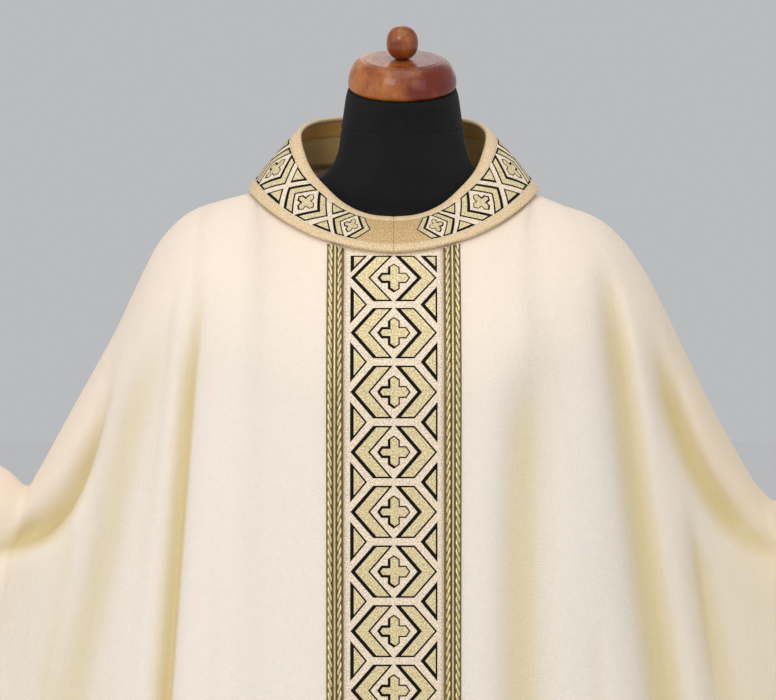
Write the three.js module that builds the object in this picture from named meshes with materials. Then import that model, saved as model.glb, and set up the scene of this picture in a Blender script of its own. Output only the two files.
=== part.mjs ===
// Monastic chasuble, worn on a limbless dress form that stands on a turned base.
// Millimetres, +Z up. +X is to the viewer's right, -Y is the front. The origin is on the floor,
// under the middle of the whole part.
import * as THREE from "three";
import { mergeVertices } from "three/addons/utils/BufferGeometryUtils.js";

// ---------------------------------------------------------------- driving sizes
const CLOTH = 2; // wall of the wool panels
const COLLAR_WALL = 3; // stiffened collar
const LINING_WALL = 1;
const TRIM_WALL = 1.2; // woven band and braids
const GAP = 0.3; // between pieces that are sewn together
const SEAM_HALF = GAP / 2;

const BAND_WIDTH = 109; // patterned middle of the orphrey
const BRAID_WIDTH = 18.5;
const TRIM_HEM_CLEARANCE = 4; // how far the orphrey stops above the hem edge

const COLLAR_RIM = { halfWidth: 108, centreY: 3, halfDepth: 89 };
const COLLAR_BASE = { halfWidth: 165, centreY: -15, halfDepth: 127 };
const COLLAR_BOW = 2; // the collar swells outwards by this much, half way down
// The panels run in under the collar: how far down its face they start, and how far under its wall.
const NECK_TUCK = { down: 0.935, under: 0.7, underAtSide: 6.4 };
const COLLAR_CUTS = 19; // facets in each half of the collar, behind its plain front piece
const COLLAR_SHARES = [0, 0.16, 0.5, 0.84, 1]; // the band of pattern fills the middle shares
const COLLAR_BAND_START = 7.5; // degrees from the front seam
const SEAM_REACH = 1; // sections this close to the middle are the collar's seams
const COLLAR_FACE_UP = 60; // the collar's face points this much up, next to its distance out in mm
const FACE_UP = 0.35; // a panel's face points this much up, next to 1 forwards or back

const FORM_SHIFT = 10; // the form stands this far to the right of the garment's middle
const CENTRE_Y = 4; // brings the origin under the middle of the stand

// Heights of the collar round the neck. The angle runs from the centre front to the centre back.
const COLLAR_ROWS = [
  { angle: 0, rimZ: 1430, baseZ: 1393 },
  { angle: 15, rimZ: 1433, baseZ: 1398 },
  { angle: 30, rimZ: 1444.5, baseZ: 1408.5 },
  { angle: 45, rimZ: 1464, baseZ: 1424 },
  { angle: 60, rimZ: 1484, baseZ: 1441 },
  { angle: 75, rimZ: 1508, baseZ: 1455 },
  { angle: 90, rimZ: 1526, baseZ: 1461 },
  { angle: 120, rimZ: 1541, baseZ: 1470 },
  { angle: 150, rimZ: 1547, baseZ: 1477 },
  { angle: 180, rimZ: 1548, baseZ: 1480 },
];

// How each panel falls below its neckline: hangY is where the cloth hangs once it is clear of the chest
// or back, drop is how far down that is. Power shapes the way there: 1 leaves the neck on a slope, and
// 0.5 starts level, in a full quarter round.
const FRONT_NECK = [
  { angle: 0, hangY: -200, drop: 175, power: 1, hemX: 0, hemZ: 200 },
  { angle: 30, hangY: -199, drop: 180, power: 1, hemX: 78, hemZ: 200 },
  { angle: 60, hangY: -194, drop: 188, power: 0.88, hemX: 145, hemZ: 203 },
  { angle: 90, hangY: -182, drop: 190, power: 0.66, hemX: 205, hemZ: 209 },
];
const BACK_NECK = [
  { angle: 180, hangY: 134, drop: 150, power: 1, hemX: 0, hemZ: 186 },
  { angle: 150, hangY: 133, drop: 150, power: 1, hemX: 78, hemZ: 187 },
  { angle: 120, hangY: 128, drop: 155, power: 0.88, hemX: 145, hemZ: 191 },
  { angle: 90, hangY: 117, drop: 160, power: 0.66, hemX: 205, hemZ: 199 },
];
const RIDGE_POWER = 0.5;
const BACK_HEM_LOWER = 10; // the back's hem hangs lower than the front's by this

// The shoulder seam runs out over the shoulder, down to the elbow and up again to the wing's end.
// Its height is given for each side, the rest is the same on both.
const RIDGE = [
  { out: 192, leftZ: 1450, rightZ: 1444, y: -12, frontY: -170, backY: 109, drop: 178, hemX: 245, hemZ: 217 },
  { out: 224, leftZ: 1440, rightZ: 1433, y: -8, frontY: -151, backY: 98, drop: 165, hemX: 290, hemZ: 230 },
  { out: 247, leftZ: 1425, rightZ: 1419, y: -7, frontY: -134, backY: 89, drop: 152, hemX: 327, hemZ: 245 },
  { out: 270, leftZ: 1398, rightZ: 1394, y: -7, frontY: -119, backY: 81, drop: 142, hemX: 364, hemZ: 263 },
  { out: 293, leftZ: 1353, rightZ: 1358, y: -8, frontY: -107, backY: 74, drop: 132, hemX: 400, hemZ: 285 },
  { out: 316, leftZ: 1304, rightZ: 1312, y: -9, frontY: -98, backY: 67, drop: 126, hemX: 434, hemZ: 311 },
  { out: 339, leftZ: 1262, rightZ: 1265, y: -11, frontY: -92, backY: 61, drop: 120, hemX: 466, hemZ: 341 },
  { out: 362, leftZ: 1221, rightZ: 1218, y: -13, frontY: -88, backY: 55, drop: 114, hemX: 496, hemZ: 375 },
  { out: 385, leftZ: 1179, rightZ: 1175, y: -16, frontY: -85, backY: 50, drop: 104, hemX: 522, hemZ: 411 },
  { out: 406, leftZ: 1141, rightZ: 1139, y: -18, frontY: -83, backY: 45, drop: 88, hemX: 544, hemZ: 448 },
  { out: 420, leftZ: 1122, rightZ: 1119, y: -20, frontY: -83, backY: 42, drop: 72, hemX: 560, hemZ: 482 },
  { out: 442, leftZ: 1140, rightZ: 1104, y: -23, frontY: -84, backY: 38, drop: 62, hemX: 576, hemZ: 516 },
  { out: 484, leftZ: 1166, rightZ: 1115, y: -29, frontY: -87, backY: 31, drop: 58, hemX: 592, hemZ: 549 },
  { out: 540, leftZ: 1195, rightZ: 1143, y: -36, frontY: -92, backY: 22, drop: 57, hemX: 607, hemZ: 580 },
  { out: 598, leftZ: 1222, rightZ: 1176, y: -44, frontY: -98, backY: 12, drop: 56, hemX: 621, hemZ: 608 },
  { out: 655, leftZ: 1246, rightZ: 1207, y: -52, frontY: -105, backY: 2, drop: 56, hemX: 634, hemZ: 634 },
];

// Each fold runs from a place, past a bend, to another, given as x and z seen from the front. near and
// far are its half widths towards the middle and away from it, at its start and at its end. Depth is
// into the hollow. A fold that fades comes to nothing at its end.
const FRONT_FOLDS = [
  { name: "left lap", from: [-226, 1372], bend: [-255, 800], to: [-318, 190],
    near: [9, 11], far: [16, 34], depth: 36 },
  { name: "left second", from: [-252, 1350], bend: [-330, 1040], to: [-490, 320],
    near: [13, 30], far: [15, 34], depth: 19 },
  { name: "left swag", from: [-300, 1292], bend: [-345, 1112], to: [-490, 1062],
    near: [9, 22], far: [20, 26], depth: 34, fades: true },
  { name: "left wing", from: [-452, 1010], bend: [-480, 860], to: [-560, 470],
    near: [22, 36], far: [22, 36], depth: 17 },
  { name: "left end", from: [-560, 1130], bend: [-566, 900], to: [-606, 560],
    near: [16, 24], far: [14, 22], depth: 20 },
  { name: "right soft", from: [152, 1316], bend: [120, 1060], to: [172, 190],
    near: [22, 36], far: [22, 36], depth: 21 },
  { name: "right broad", from: [228, 1410], bend: [262, 1180], to: [398, 240],
    near: [12, 36], far: [12, 32], depth: 24 },
  { name: "right swag", from: [280, 1352], bend: [300, 1100], to: [470, 1015],
    near: [12, 24], far: [16, 26], depth: 34, fades: true },
  { name: "right wing", from: [328, 1110], bend: [372, 940], to: [486, 330],
    near: [13, 26], far: [24, 40], depth: 17 },
  { name: "right end", from: [545, 1090], bend: [556, 860], to: [590, 540],
    near: [18, 26], far: [18, 26], depth: 20 },
];
const BACK_FOLDS = [
  { name: "left blade", from: [-120, 1330], bend: [-112, 900], to: [-150, 180],
    near: [22, 40], far: [22, 40], depth: 20 },
  { name: "left shoulder", from: [-232, 1372], bend: [-262, 1040], to: [-350, 230],
    near: [12, 32], far: [16, 36], depth: 27 },
  { name: "left swag", from: [-305, 1296], bend: [-345, 1120], to: [-480, 1050],
    near: [12, 24], far: [20, 26], depth: 26, fades: true },
  { name: "left wing", from: [-430, 1030], bend: [-466, 860], to: [-540, 440],
    near: [20, 34], far: [20, 36], depth: 16 },
  { name: "right blade", from: [138, 1300], bend: [152, 900], to: [196, 180],
    near: [22, 38], far: [22, 38], depth: 19 },
  { name: "right shoulder", from: [240, 1360], bend: [276, 1020], to: [372, 240],
    near: [14, 32], far: [14, 36], depth: 26 },
  { name: "right swag", from: [300, 1300], bend: [330, 1100], to: [470, 1020],
    near: [12, 24], far: [18, 26], depth: 26, fades: true },
  { name: "right wing", from: [448, 1010], bend: [480, 830], to: [556, 460],
    near: [22, 34], far: [22, 36], depth: 16 },
];
const FOLD_STEPS = 14; // straight stretches that stand for one bent fold line
const FOLD_CLEAR_OF_SEAM = 70; // folds grow from nothing over this drop below the shoulder seam
// Shares of a fold's length: it deepens over the first, and one that fades does so over the last. Any
// other starts at the third share of its depth.
const FOLD_GROWTH = { starts: 0.22, fades: 0.4, depthAtStart: 0.75 };

// How the panels are cut up. The columns of each half start at the neckline up to NECK_SHARE, and at the
// shoulder seam from there on. The rows turn over the shoulder up to ARC_SHARE, and hang from there on.
const NECK_SHARE = 0.26;
const ARC_SHARE = 0.28;
const ARC_ROWS = 6;
const HANG_ROWS = 13;
const NECK_COLUMN_SHARES = [0.13, 0.17, 0.215];
const ON_SEAM = 1e-6; // shares this close to NECK_SHARE count as on the shoulder seam
const HALVINGS = 24; // steps of the search for a place across a panel

// Sections of the dress form, from the neck's top to the hips. The neck is cut on a slant: lean is how
// far each section tips down at the front, in degrees.
const FORM_ROWS = [
  { z: 1575.7, half: 62, front: 60, back: 60, lean: 17 },
  { z: 1567, half: 64.5, front: 61, back: 61, lean: 15 },
  { z: 1550, half: 67, front: 60, back: 62, lean: 11 },
  { z: 1530, half: 70, front: 59, back: 63, lean: 6 },
  { z: 1507, half: 73, front: 59, back: 65, lean: 2 },
  { z: 1488, half: 81, front: 60, back: 68, lean: 0 },
  { z: 1470, half: 98, front: 60, back: 74, lean: 0 },
  { z: 1452, half: 126, front: 61, back: 80, lean: 0 },
  { z: 1436, half: 160, front: 62, back: 86, lean: 0 },
  { z: 1426, half: 180, front: 70, back: 89, lean: 0 },
  { z: 1416, half: 193, front: 82, back: 92, lean: 0 },
  { z: 1400, half: 203, front: 104, back: 95, lean: 0 },
  { z: 1375, half: 207, front: 124, back: 98, lean: 0 },
  { z: 1340, half: 205, front: 133, back: 99, lean: 0 },
  { z: 1290, half: 194, front: 138, back: 99, lean: 0 },
  { z: 1200, half: 172, front: 134, back: 93, lean: 0 },
  { z: 1070, half: 156, front: 118, back: 84, lean: 0 },
  { z: 950, half: 168, front: 120, back: 94, lean: 0 },
  { z: 860, half: 176, front: 118, back: 100, lean: 0 },
  { z: 800, half: 172, front: 112, back: 96, lean: 0 },
];
const FORM_NECK_Y = -4;
const FORM_SIDES = 28;
// Turned outlines, from the foot's middle to the top's, as radius and height.
const CAP_PROFILE = [
  [0, 0], [57, 0], [61, 2.5], [62, 7], [61, 14], [58.3, 21.5], [53.8, 28.5], [46, 35.5], [0, 35.5],
];
const KNOB_PROFILE = [
  [0, 0], [8, 0.6], [14, 5], [17.4, 12], [18, 20], [16.6, 27.4], [12.5, 33.6], [6.5, 37], [0, 38],
];
const TURNED_SIDES = { cap: 28, knob: 16, plate: 28, pole: 16, base: 36 };
const SAME_POINT = 1e-3; // corners closer than this are merged
const HIP_PLATE = { radiusX: 160, radiusY: 94, height: 16 };
const POLE = { radius: 16, top: 783, bottom: 46 };
const BASE_PROFILE = [[0, 0], [210, 0], [215, 8], [213, 20], [196, 30], [70, 38], [34, 45], [0, 45]];

// ---------------------------------------------------------------- small helpers
const mix = (a, b, t) => a + (b - a) * t;
const clamp = (v, low, high) => Math.min(high, Math.max(low, v));
const smooth = (v) => {
  const t = clamp(v, 0, 1);
  return t * t * (3 - 2 * t);
};

// The named column of a table at a fractional row, on a smooth curve through the rows.
function at(rows, column, row) {
  const i = clamp(Math.floor(row), 0, rows.length - 2);
  const t = row - i;
  const value = (n) => rows[clamp(n, 0, rows.length - 1)][column];
  const slopeA = (value(i + 1) - value(i - 1)) / 2;
  const slopeB = (value(i + 2) - value(i)) / 2;
  const t2 = t * t;
  const t3 = t2 * t;
  return (2 * t3 - 3 * t2 + 1) * value(i) + (t3 - 2 * t2 + t) * slopeA
    + (3 * t2 - 2 * t3) * value(i + 1) + (t3 - t2) * slopeB;
}

// The fractional row of a table at which its angle column has that value.
function rowOfAngle(rows, angle) {
  let i = 0;
  const rising = rows[rows.length - 1].angle > rows[0].angle;
  while (i < rows.length - 2 && (rising ? rows[i + 1].angle < angle : rows[i + 1].angle > angle)) i += 1;
  return i + (angle - rows[i].angle) / (rows[i + 1].angle - rows[i].angle);
}

// ---------------------------------------------------------------- collar
// A point on the collar's outer face. Angle in degrees from the centre front, negative to the left.
// down is 0 at the rim and 1 at the seam with the panels. inwards is a distance under the face.
function collarPoint(angle, down, inwards = 0) {
  const turn = THREE.MathUtils.degToRad(Math.abs(angle));
  const side = Math.sign(angle) || 1;
  const row = rowOfAngle(COLLAR_ROWS, Math.abs(angle));
  const ring = (size, z) => new THREE.Vector3(
    side * size.halfWidth * Math.sin(turn), size.centreY - size.halfDepth * Math.cos(turn), z);
  const rim = ring(COLLAR_RIM, at(COLLAR_ROWS, "rimZ", row));
  const base = ring(COLLAR_BASE, at(COLLAR_ROWS, "baseZ", row));
  const along = base.clone().sub(rim).normalize();
  const round = new THREE.Vector3(side * Math.cos(turn), Math.sin(turn), 0);
  const normal = along.clone().cross(round).multiplyScalar(-side).normalize();
  if (normal.z < 0) normal.negate();
  return rim.lerp(base, down).addScaledVector(normal, COLLAR_BOW * 4 * down * (1 - down) - inwards);
}

// ---------------------------------------------------------------- panels
// How far into the hollow the folds push the cloth at a place seen from the front.
function foldDepth(folds, x, z) {
  let depth = 0;
  for (const fold of folds) {
    let best = { far: Infinity, t: 0, onLeft: false };
    let start = fold.from;
    for (let k = 1; k <= FOLD_STEPS; k += 1) {
      const t = k / FOLD_STEPS;
      const end = [0, 1].map((axis) => (
        mix(mix(fold.from[axis], fold.bend[axis], t), mix(fold.bend[axis], fold.to[axis], t), t)));
      const dx = end[0] - start[0];
      const dz = end[1] - start[1];
      const share = clamp(((x - start[0]) * dx + (z - start[1]) * dz) / (dx * dx + dz * dz), 0, 1);
      const px = x - start[0] - share * dx;
      const pz = z - start[1] - share * dz;
      const far = Math.hypot(px, pz);
      if (far < best.far) best = { far, t: (k - 1 + share) / FOLD_STEPS, onLeft: dx * pz - dz * px < 0 };
      start = end;
    }
    const towardsMiddle = (fold.from[0] < 0) !== best.onLeft;
    const [widthAtStart, widthAtEnd] = towardsMiddle ? fold.near : fold.far;
    const width = mix(widthAtStart, widthAtEnd, best.t);
    const fading = fold.fades
      ? smooth((1 - best.t) / FOLD_GROWTH.fades)
      : mix(FOLD_GROWTH.depthAtStart, 1, best.t);
    const grown = smooth(best.t / FOLD_GROWTH.starts) * fading;
    depth += fold.depth * grown * Math.exp(-((best.far / width) ** 2));
  }
  return depth;
}

// A panel's outer face. column runs from -1, the left wing's end, to 1, the right wing's end, and is
// 0 at the centre. row runs from 0, at the neckline and shoulder seam, to 1 at the hem.
function panelPoint(panel, column, row) {
  const side = column < 0 ? -1 : 1;
  const out = Math.abs(column);
  const front = panel === "front";
  const neckRows = front ? FRONT_NECK : BACK_NECK;
  const into = front ? 1 : -1; // folds go back into the front panel, and forward into the back one
  let top, hangY, drop, power, hemX, hemZ;
  const neckEdge = (angle) => {
    const atSide = Math.sin(THREE.MathUtils.degToRad(angle)) ** 2;
    const under = mix(NECK_TUCK.under, NECK_TUCK.underAtSide, atSide);
    return collarPoint(side * angle, NECK_TUCK.down, COLLAR_WALL + under);
  };
  if (out <= NECK_SHARE) {
    const r = (out / NECK_SHARE) * (neckRows.length - 1);
    top = neckEdge(at(neckRows, "angle", r));
    const columns = ["hangY", "drop", "power", "hemX", "hemZ"];
    [hangY, drop, power, hemX, hemZ] = columns.map((c) => at(neckRows, c, r));
  } else {
    // Row 0 of the ridge table is the next section after the neckline's last one.
    const last = neckRows[neckRows.length - 1];
    const shoulder = neckEdge(90);
    const rows = [
      { ...last, top: Math.abs(shoulder.x), z: shoulder.z, y: shoulder.y },
      ...RIDGE.map((s) => ({
        ...s,
        top: s.out,
        z: side < 0 ? s.leftZ : s.rightZ,
        hangY: front ? s.frontY : s.backY,
        hemZ: s.hemZ - (front ? 0 : BACK_HEM_LOWER),
      })),
    ];
    const r = ((out - NECK_SHARE) / (1 - NECK_SHARE)) * (rows.length - 1);
    top = new THREE.Vector3(side * at(rows, "top", r), at(rows, "y", r), at(rows, "z", r));
    [hangY, drop, hemX, hemZ] = ["hangY", "drop", "hemX", "hemZ"].map((c) => at(rows, c, r));
    power = mix(last.power, RIDGE_POWER, clamp(r, 0, 1));
  }
  const fall = top.z - hemZ;
  const down = row < ARC_SHARE
    ? drop * (1 - Math.cos((row / ARC_SHARE) * (Math.PI / 2)))
    : mix(drop, fall, (row - ARC_SHARE) / (1 - ARC_SHARE));
  const share = (1 - (1 - clamp(down / drop, 0, 1)) ** 2) ** power;
  const seam = out > NECK_SHARE - ON_SEAM ? SEAM_HALF * into : 0;
  const point = new THREE.Vector3(
    mix(top.x, side * hemX, down / fall), mix(top.y - seam, hangY, share), top.z - down);
  const grown = smooth(down / FOLD_CLEAR_OF_SEAM);
  const folds = front ? FRONT_FOLDS : BACK_FOLDS;
  point.y += into * grown * foldDepth(folds, point.x, point.z);
  return point;
}

// ---------------------------------------------------------------- walls
// A closed wall through a grid of outer points. normals point out of the face, and the wall lies under it.
function wallGeometry(grid, normals, thickness) {
  const columns = grid.length, rows = grid[0].length;
  const layer = columns * rows;
  const positions = [];
  for (const depth of [0, thickness]) {
    grid.forEach((line, i) => line.forEach((p, j) => {
      const q = p.clone().addScaledVector(normals[i][j], -depth);
      positions.push(q.x, q.y, q.z);
    }));
  }
  const index = [];
  const quad = (a, b, c, d) => index.push(a, b, c, a, c, d);
  const v = (i, j, deep) => deep * layer + i * rows + j;
  for (let i = 0; i < columns - 1; i += 1) {
    for (let j = 0; j < rows - 1; j += 1) {
      quad(v(i, j, 0), v(i, j + 1, 0), v(i + 1, j + 1, 0), v(i + 1, j, 0));
      quad(v(i, j, 1), v(i + 1, j, 1), v(i + 1, j + 1, 1), v(i, j + 1, 1));
    }
    quad(v(i, 0, 0), v(i + 1, 0, 0), v(i + 1, 0, 1), v(i, 0, 1));
    quad(v(i, rows - 1, 0), v(i, rows - 1, 1), v(i + 1, rows - 1, 1), v(i + 1, rows - 1, 0));
  }
  for (let j = 0; j < rows - 1; j += 1) {
    quad(v(0, j, 0), v(0, j, 1), v(0, j + 1, 1), v(0, j + 1, 0));
    quad(v(columns - 1, j, 0), v(columns - 1, j + 1, 0), v(columns - 1, j + 1, 1), v(columns - 1, j, 1));
  }
  const geometry = new THREE.BufferGeometry();
  geometry.setAttribute("position", new THREE.Float32BufferAttribute(positions, 3));
  geometry.setIndex(index);
  return facingOut(geometry);
}

// Turns every triangle round if the closed body's volume comes out negative.
function facingOut(geometry) {
  const p = geometry.attributes.position, index = geometry.index.array;
  const [a, b, c] = [new THREE.Vector3(), new THREE.Vector3(), new THREE.Vector3()];
  let volume = 0;
  for (let i = 0; i < index.length; i += 3) {
    a.fromBufferAttribute(p, index[i]);
    b.fromBufferAttribute(p, index[i + 1]);
    c.fromBufferAttribute(p, index[i + 2]);
    volume += a.dot(b.cross(c)) / 6;
  }
  if (volume < 0) {
    for (let i = 0; i < index.length; i += 3) [index[i + 1], index[i + 2]] = [index[i + 2], index[i + 1]];
  }
  geometry.computeVertexNormals();
  return geometry;
}

// Unit normals of a grid of points, from its neighbours, all on the side that "outside" points to.
function gridNormals(grid, outside) {
  const columns = grid.length, rows = grid[0].length;
  return grid.map((line, i) => line.map((p, j) => {
    const across = grid[Math.min(i + 1, columns - 1)][j].clone().sub(grid[Math.max(i - 1, 0)][j]);
    const along = line[Math.min(j + 1, rows - 1)].clone().sub(line[Math.max(j - 1, 0)]);
    const n = across.cross(along).normalize();
    return n.dot(outside(p)) < 0 ? n.negate() : n;
  }));
}

const steps = (from, to, count) => Array.from({ length: count + 1 }, (_, i) => mix(from, to, i / count));

function addWall(group, name, material, grid, outside, thickness, lift = 0, fixNormals = null) {
  const normals = gridNormals(grid, outside);
  if (fixNormals) fixNormals(normals, grid);
  const lifted = grid.map((line, i) => line.map((p, j) => p.clone().addScaledVector(normals[i][j], lift)));
  const mesh = new THREE.Mesh(wallGeometry(lifted, normals, thickness), material);
  mesh.name = name;
  group.add(mesh);
  return mesh;
}

// ---------------------------------------------------------------- materials
const cloth = (color, roughness = 0.85) => (
  new THREE.MeshStandardMaterial({ color, roughness, metalness: 0 }));
const MATERIALS = {
  wool: cloth(0xf3e4cf),
  goldCloth: cloth(0xd8b883, 0.6),
  band: cloth(0xe6d3b0, 0.6),
  braid: new THREE.MeshStandardMaterial({ color: 0xa08a48, roughness: 0.45, metalness: 0.4 }),
  lining: cloth(0xb9823a, 0.6),
  jersey: cloth(0x1b1b1c),
  wood: new THREE.MeshStandardMaterial({ color: 0x9a5426, roughness: 0.3, metalness: 0 }),
  steel: new THREE.MeshStandardMaterial({ color: 0x2a2a2c, roughness: 0.4, metalness: 0.7 }),
};

// The rows at which the panels are cut into facets: over the shoulder, then down to the hem.
const PANEL_ROWS = [...steps(0, ARC_SHARE, ARC_ROWS), ...steps(ARC_SHARE, 1, HANG_ROWS).slice(1)];

// The columns: some stand at a place across the orphrey, under its edges, and the rest are shares of
// the way out to the wing's end.
const BAND_EDGE = BAND_WIDTH / 2 + SEAM_HALF;
const TRIM_EDGE = BAND_WIDTH / 2 + GAP + BRAID_WIDTH;
const ORPHREY_PLACES = [0, BAND_EDGE / 2, BAND_EDGE, TRIM_EDGE].map((x) => ({ x }));
const NECK_COLUMNS = [...NECK_COLUMN_SHARES, NECK_SHARE].map((share) => ({ share }));
const WING_COLUMNS = steps(NECK_SHARE, 1, RIDGE.length).slice(1).map((share) => ({ share }));

function panelColumns() {
  const half = [...ORPHREY_PLACES, ...NECK_COLUMNS, ...WING_COLUMNS];
  const opposite = ({ x, share }) => (x === undefined ? { share: -share } : { x: -x });
  const mirrored = half.slice(1).reverse().map(opposite);
  return [...mirrored, ...half];
}

// A panel's face at a distance x from the middle, at one of its rows. It finds the column by halving,
// because x grows steadily with the column.
function panelPointAtX(name, x, row) {
  let low = -NECK_SHARE, high = NECK_SHARE;
  for (let k = 0; k < HALVINGS; k += 1) {
    const middle = (low + high) / 2;
    if (panelPoint(name, middle, row).x < x) low = middle;
    else high = middle;
  }
  return panelPoint(name, (low + high) / 2, row);
}

function panel(group, name) {
  const front = name === "front";
  const columns = panelColumns();
  const pointOn = ({ x, share }, row) => (
    x === undefined ? panelPoint(name, share, row) : panelPointAtX(name, x, row));
  const grid = columns.map((c) => PANEL_ROWS.map((r) => pointOn(c, r)));
  const outside = () => new THREE.Vector3(0, front ? -1 : 1, FACE_UP);
  // At the shoulder seam the wall ends square, so both panels meet face to face.
  const squareAtSeam = (normals) => normals.forEach((line, i) => {
    if (columns[i].share === undefined || Math.abs(columns[i].share) < NECK_SHARE - ON_SEAM) return;
    line[0].y = 0;
    line[0].normalize();
    if (line[0].z < 0) line[0].negate();
  });
  addWall(group, `${name}_panel`, MATERIALS.wool, grid, outside, CLOTH, 0, squareAtSeam);
}

// A strip of trim down the front, through some places across it, on top of the front panel. It starts
// one row down, where the panel comes out from under the collar.
function trimStrip(group, name, material, places) {
  const rows = PANEL_ROWS.slice(1);
  const grid = places.map((x) => rows.map((r, j) => {
    const p = panelPointAtX("front", x, r);
    return j === rows.length - 1 ? p.setZ(p.z + TRIM_HEM_CLEARANCE) : p;
  }));
  addWall(group, name, material, grid, () => new THREE.Vector3(0, -1, FACE_UP), TRIM_WALL, GAP + TRIM_WALL);
}

function orphrey(group) {
  const half = BAND_WIDTH / 2;
  trimStrip(group, "orphrey_band", MATERIALS.band, [-half, -BAND_EDGE / 2, 0, BAND_EDGE / 2, half]);
  trimStrip(group, "braid_left", MATERIALS.braid, [-TRIM_EDGE, -half - GAP]);
  trimStrip(group, "braid_right", MATERIALS.braid, [half + GAP, TRIM_EDGE]);
}

// Each half of the collar runs from the front seam to the back seam. All its layers stand on the same
// angles and shares of its width, so their facets lie parallel.
function collar(group) {
  const seamAngle = THREE.MathUtils.radToDeg(SEAM_HALF / COLLAR_RIM.halfDepth);
  const bandAngles = steps(COLLAR_BAND_START, 180 - seamAngle, COLLAR_CUTS);
  const angles = [seamAngle, ...bandAngles];
  const outside = (p) => new THREE.Vector3(p.x, p.y, COLLAR_FACE_UP);
  // At the front and back seams the layers end square to the seam, without leaning across it.
  const squareAtSeams = (normals, grid) => normals.forEach((line, i) => {
    if (Math.abs(grid[i][0].x) > SEAM_REACH) return;
    line.forEach((n) => n.setX(0).normalize());
  });
  for (const [name, side] of [["left", -1], ["right", 1]]) {
    const gridOn = (turns, shares) => turns.map((a) => shares.map((s) => collarPoint(side * a, s)));
    const whole = gridOn(angles, COLLAR_SHARES);
    addWall(group, `collar_${name}`, MATERIALS.goldCloth, whole, outside, COLLAR_WALL, 0, squareAtSeams);
    addWall(group, `collar_lining_${name}`, MATERIALS.lining, gridOn(angles, COLLAR_SHARES.slice(0, -1)),
      outside, LINING_WALL, -COLLAR_WALL - GAP, squareAtSeams);
    addWall(group, `collar_band_${name}`, MATERIALS.band, gridOn(bandAngles, COLLAR_SHARES.slice(1, -1)),
      outside, TRIM_WALL, GAP + TRIM_WALL, squareAtSeams);
  }
}

// ---------------------------------------------------------------- dress form
function formTorso(group) {
  const positions = [], index = [];
  const ring = FORM_SIDES;
  const push = (x, y, z) => positions.push(x, y, z);
  for (const s of FORM_ROWS) {
    for (let k = 0; k < ring; k += 1) {
      const turn = (k / ring) * 2 * Math.PI;
      const forward = (Math.cos(turn) > 0 ? s.front : s.back) * Math.cos(turn);
      const tip = forward * Math.tan(THREE.MathUtils.degToRad(s.lean));
      push(s.half * Math.sin(turn), FORM_NECK_Y - forward, s.z - tip);
    }
  }
  const last = FORM_ROWS.length - 1;
  push(0, FORM_NECK_Y, FORM_ROWS[0].z);
  push(0, FORM_NECK_Y, FORM_ROWS[last].z);
  const topHub = positions.length / 3 - 2, lowHub = topHub + 1;
  for (let k = 0; k < ring; k += 1) {
    const n = (k + 1) % ring;
    for (let j = 0; j < last; j += 1) {
      const a = j * ring;
      index.push(a + k, a + ring + k, a + ring + n, a + k, a + ring + n, a + n);
    }
    index.push(topHub, k, n, lowHub, last * ring + n, last * ring + k);
  }
  const geometry = new THREE.BufferGeometry();
  geometry.setAttribute("position", new THREE.Float32BufferAttribute(positions, 3));
  geometry.setIndex(index);
  const mesh = new THREE.Mesh(facingOut(geometry), MATERIALS.jersey);
  mesh.name = "form_torso";
  group.add(mesh);
}

// A turned piece that stands on z = 0 of its own frame.
function turned(name, material, profile, sides) {
  const points = profile.map(([r, z]) => new THREE.Vector2(r, z));
  const geometry = new THREE.LatheGeometry(points, sides).rotateX(Math.PI / 2);
  geometry.deleteAttribute("normal");
  geometry.deleteAttribute("uv");
  const mesh = new THREE.Mesh(facingOut(mergeVertices(geometry, SAME_POINT)), material);
  mesh.name = name;
  return mesh;
}

function dressForm(group) {
  const form = new THREE.Group();
  form.position.x = FORM_SHIFT;
  formTorso(form);

  const neckTop = FORM_ROWS[0].z, hipBottom = FORM_ROWS[FORM_ROWS.length - 1].z;
  const head = new THREE.Group();
  head.rotation.x = THREE.MathUtils.degToRad(FORM_ROWS[0].lean);
  head.position.set(0, FORM_NECK_Y, neckTop + GAP);
  const knob = turned("neck_knob", MATERIALS.wood, KNOB_PROFILE, TURNED_SIDES.knob);
  knob.position.z = CAP_PROFILE[CAP_PROFILE.length - 1][1] + GAP;
  head.add(turned("neck_cap", MATERIALS.wood, CAP_PROFILE, TURNED_SIDES.cap), knob);
  form.add(head);

  const plateProfile = [[0, 0], [1, 0], [1, HIP_PLATE.height], [0, HIP_PLATE.height]];
  const plate = turned("hip_plate", MATERIALS.wood, plateProfile, TURNED_SIDES.plate);
  plate.scale.set(HIP_PLATE.radiusX, HIP_PLATE.radiusY, 1);
  plate.position.set(0, FORM_NECK_Y, hipBottom - GAP - HIP_PLATE.height);
  const poleLength = POLE.top - POLE.bottom;
  const pole = turned("stand_pole", MATERIALS.steel,
    [[0, 0], [POLE.radius, 0], [POLE.radius, poleLength], [0, poleLength]], TURNED_SIDES.pole);
  pole.position.set(0, FORM_NECK_Y, POLE.bottom);
  const base = turned("stand_base", MATERIALS.wood, BASE_PROFILE, TURNED_SIDES.base);
  base.position.y = FORM_NECK_Y;
  form.add(plate, pole, base);
  group.add(form);
}

// ---------------------------------------------------------------- the whole part
const part = new THREE.Group();
part.position.set(0, CENTRE_Y, 0);
panel(part, "front");
panel(part, "back");
orphrey(part);
collar(part);
dressForm(part);

export default part;
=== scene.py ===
import math

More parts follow.
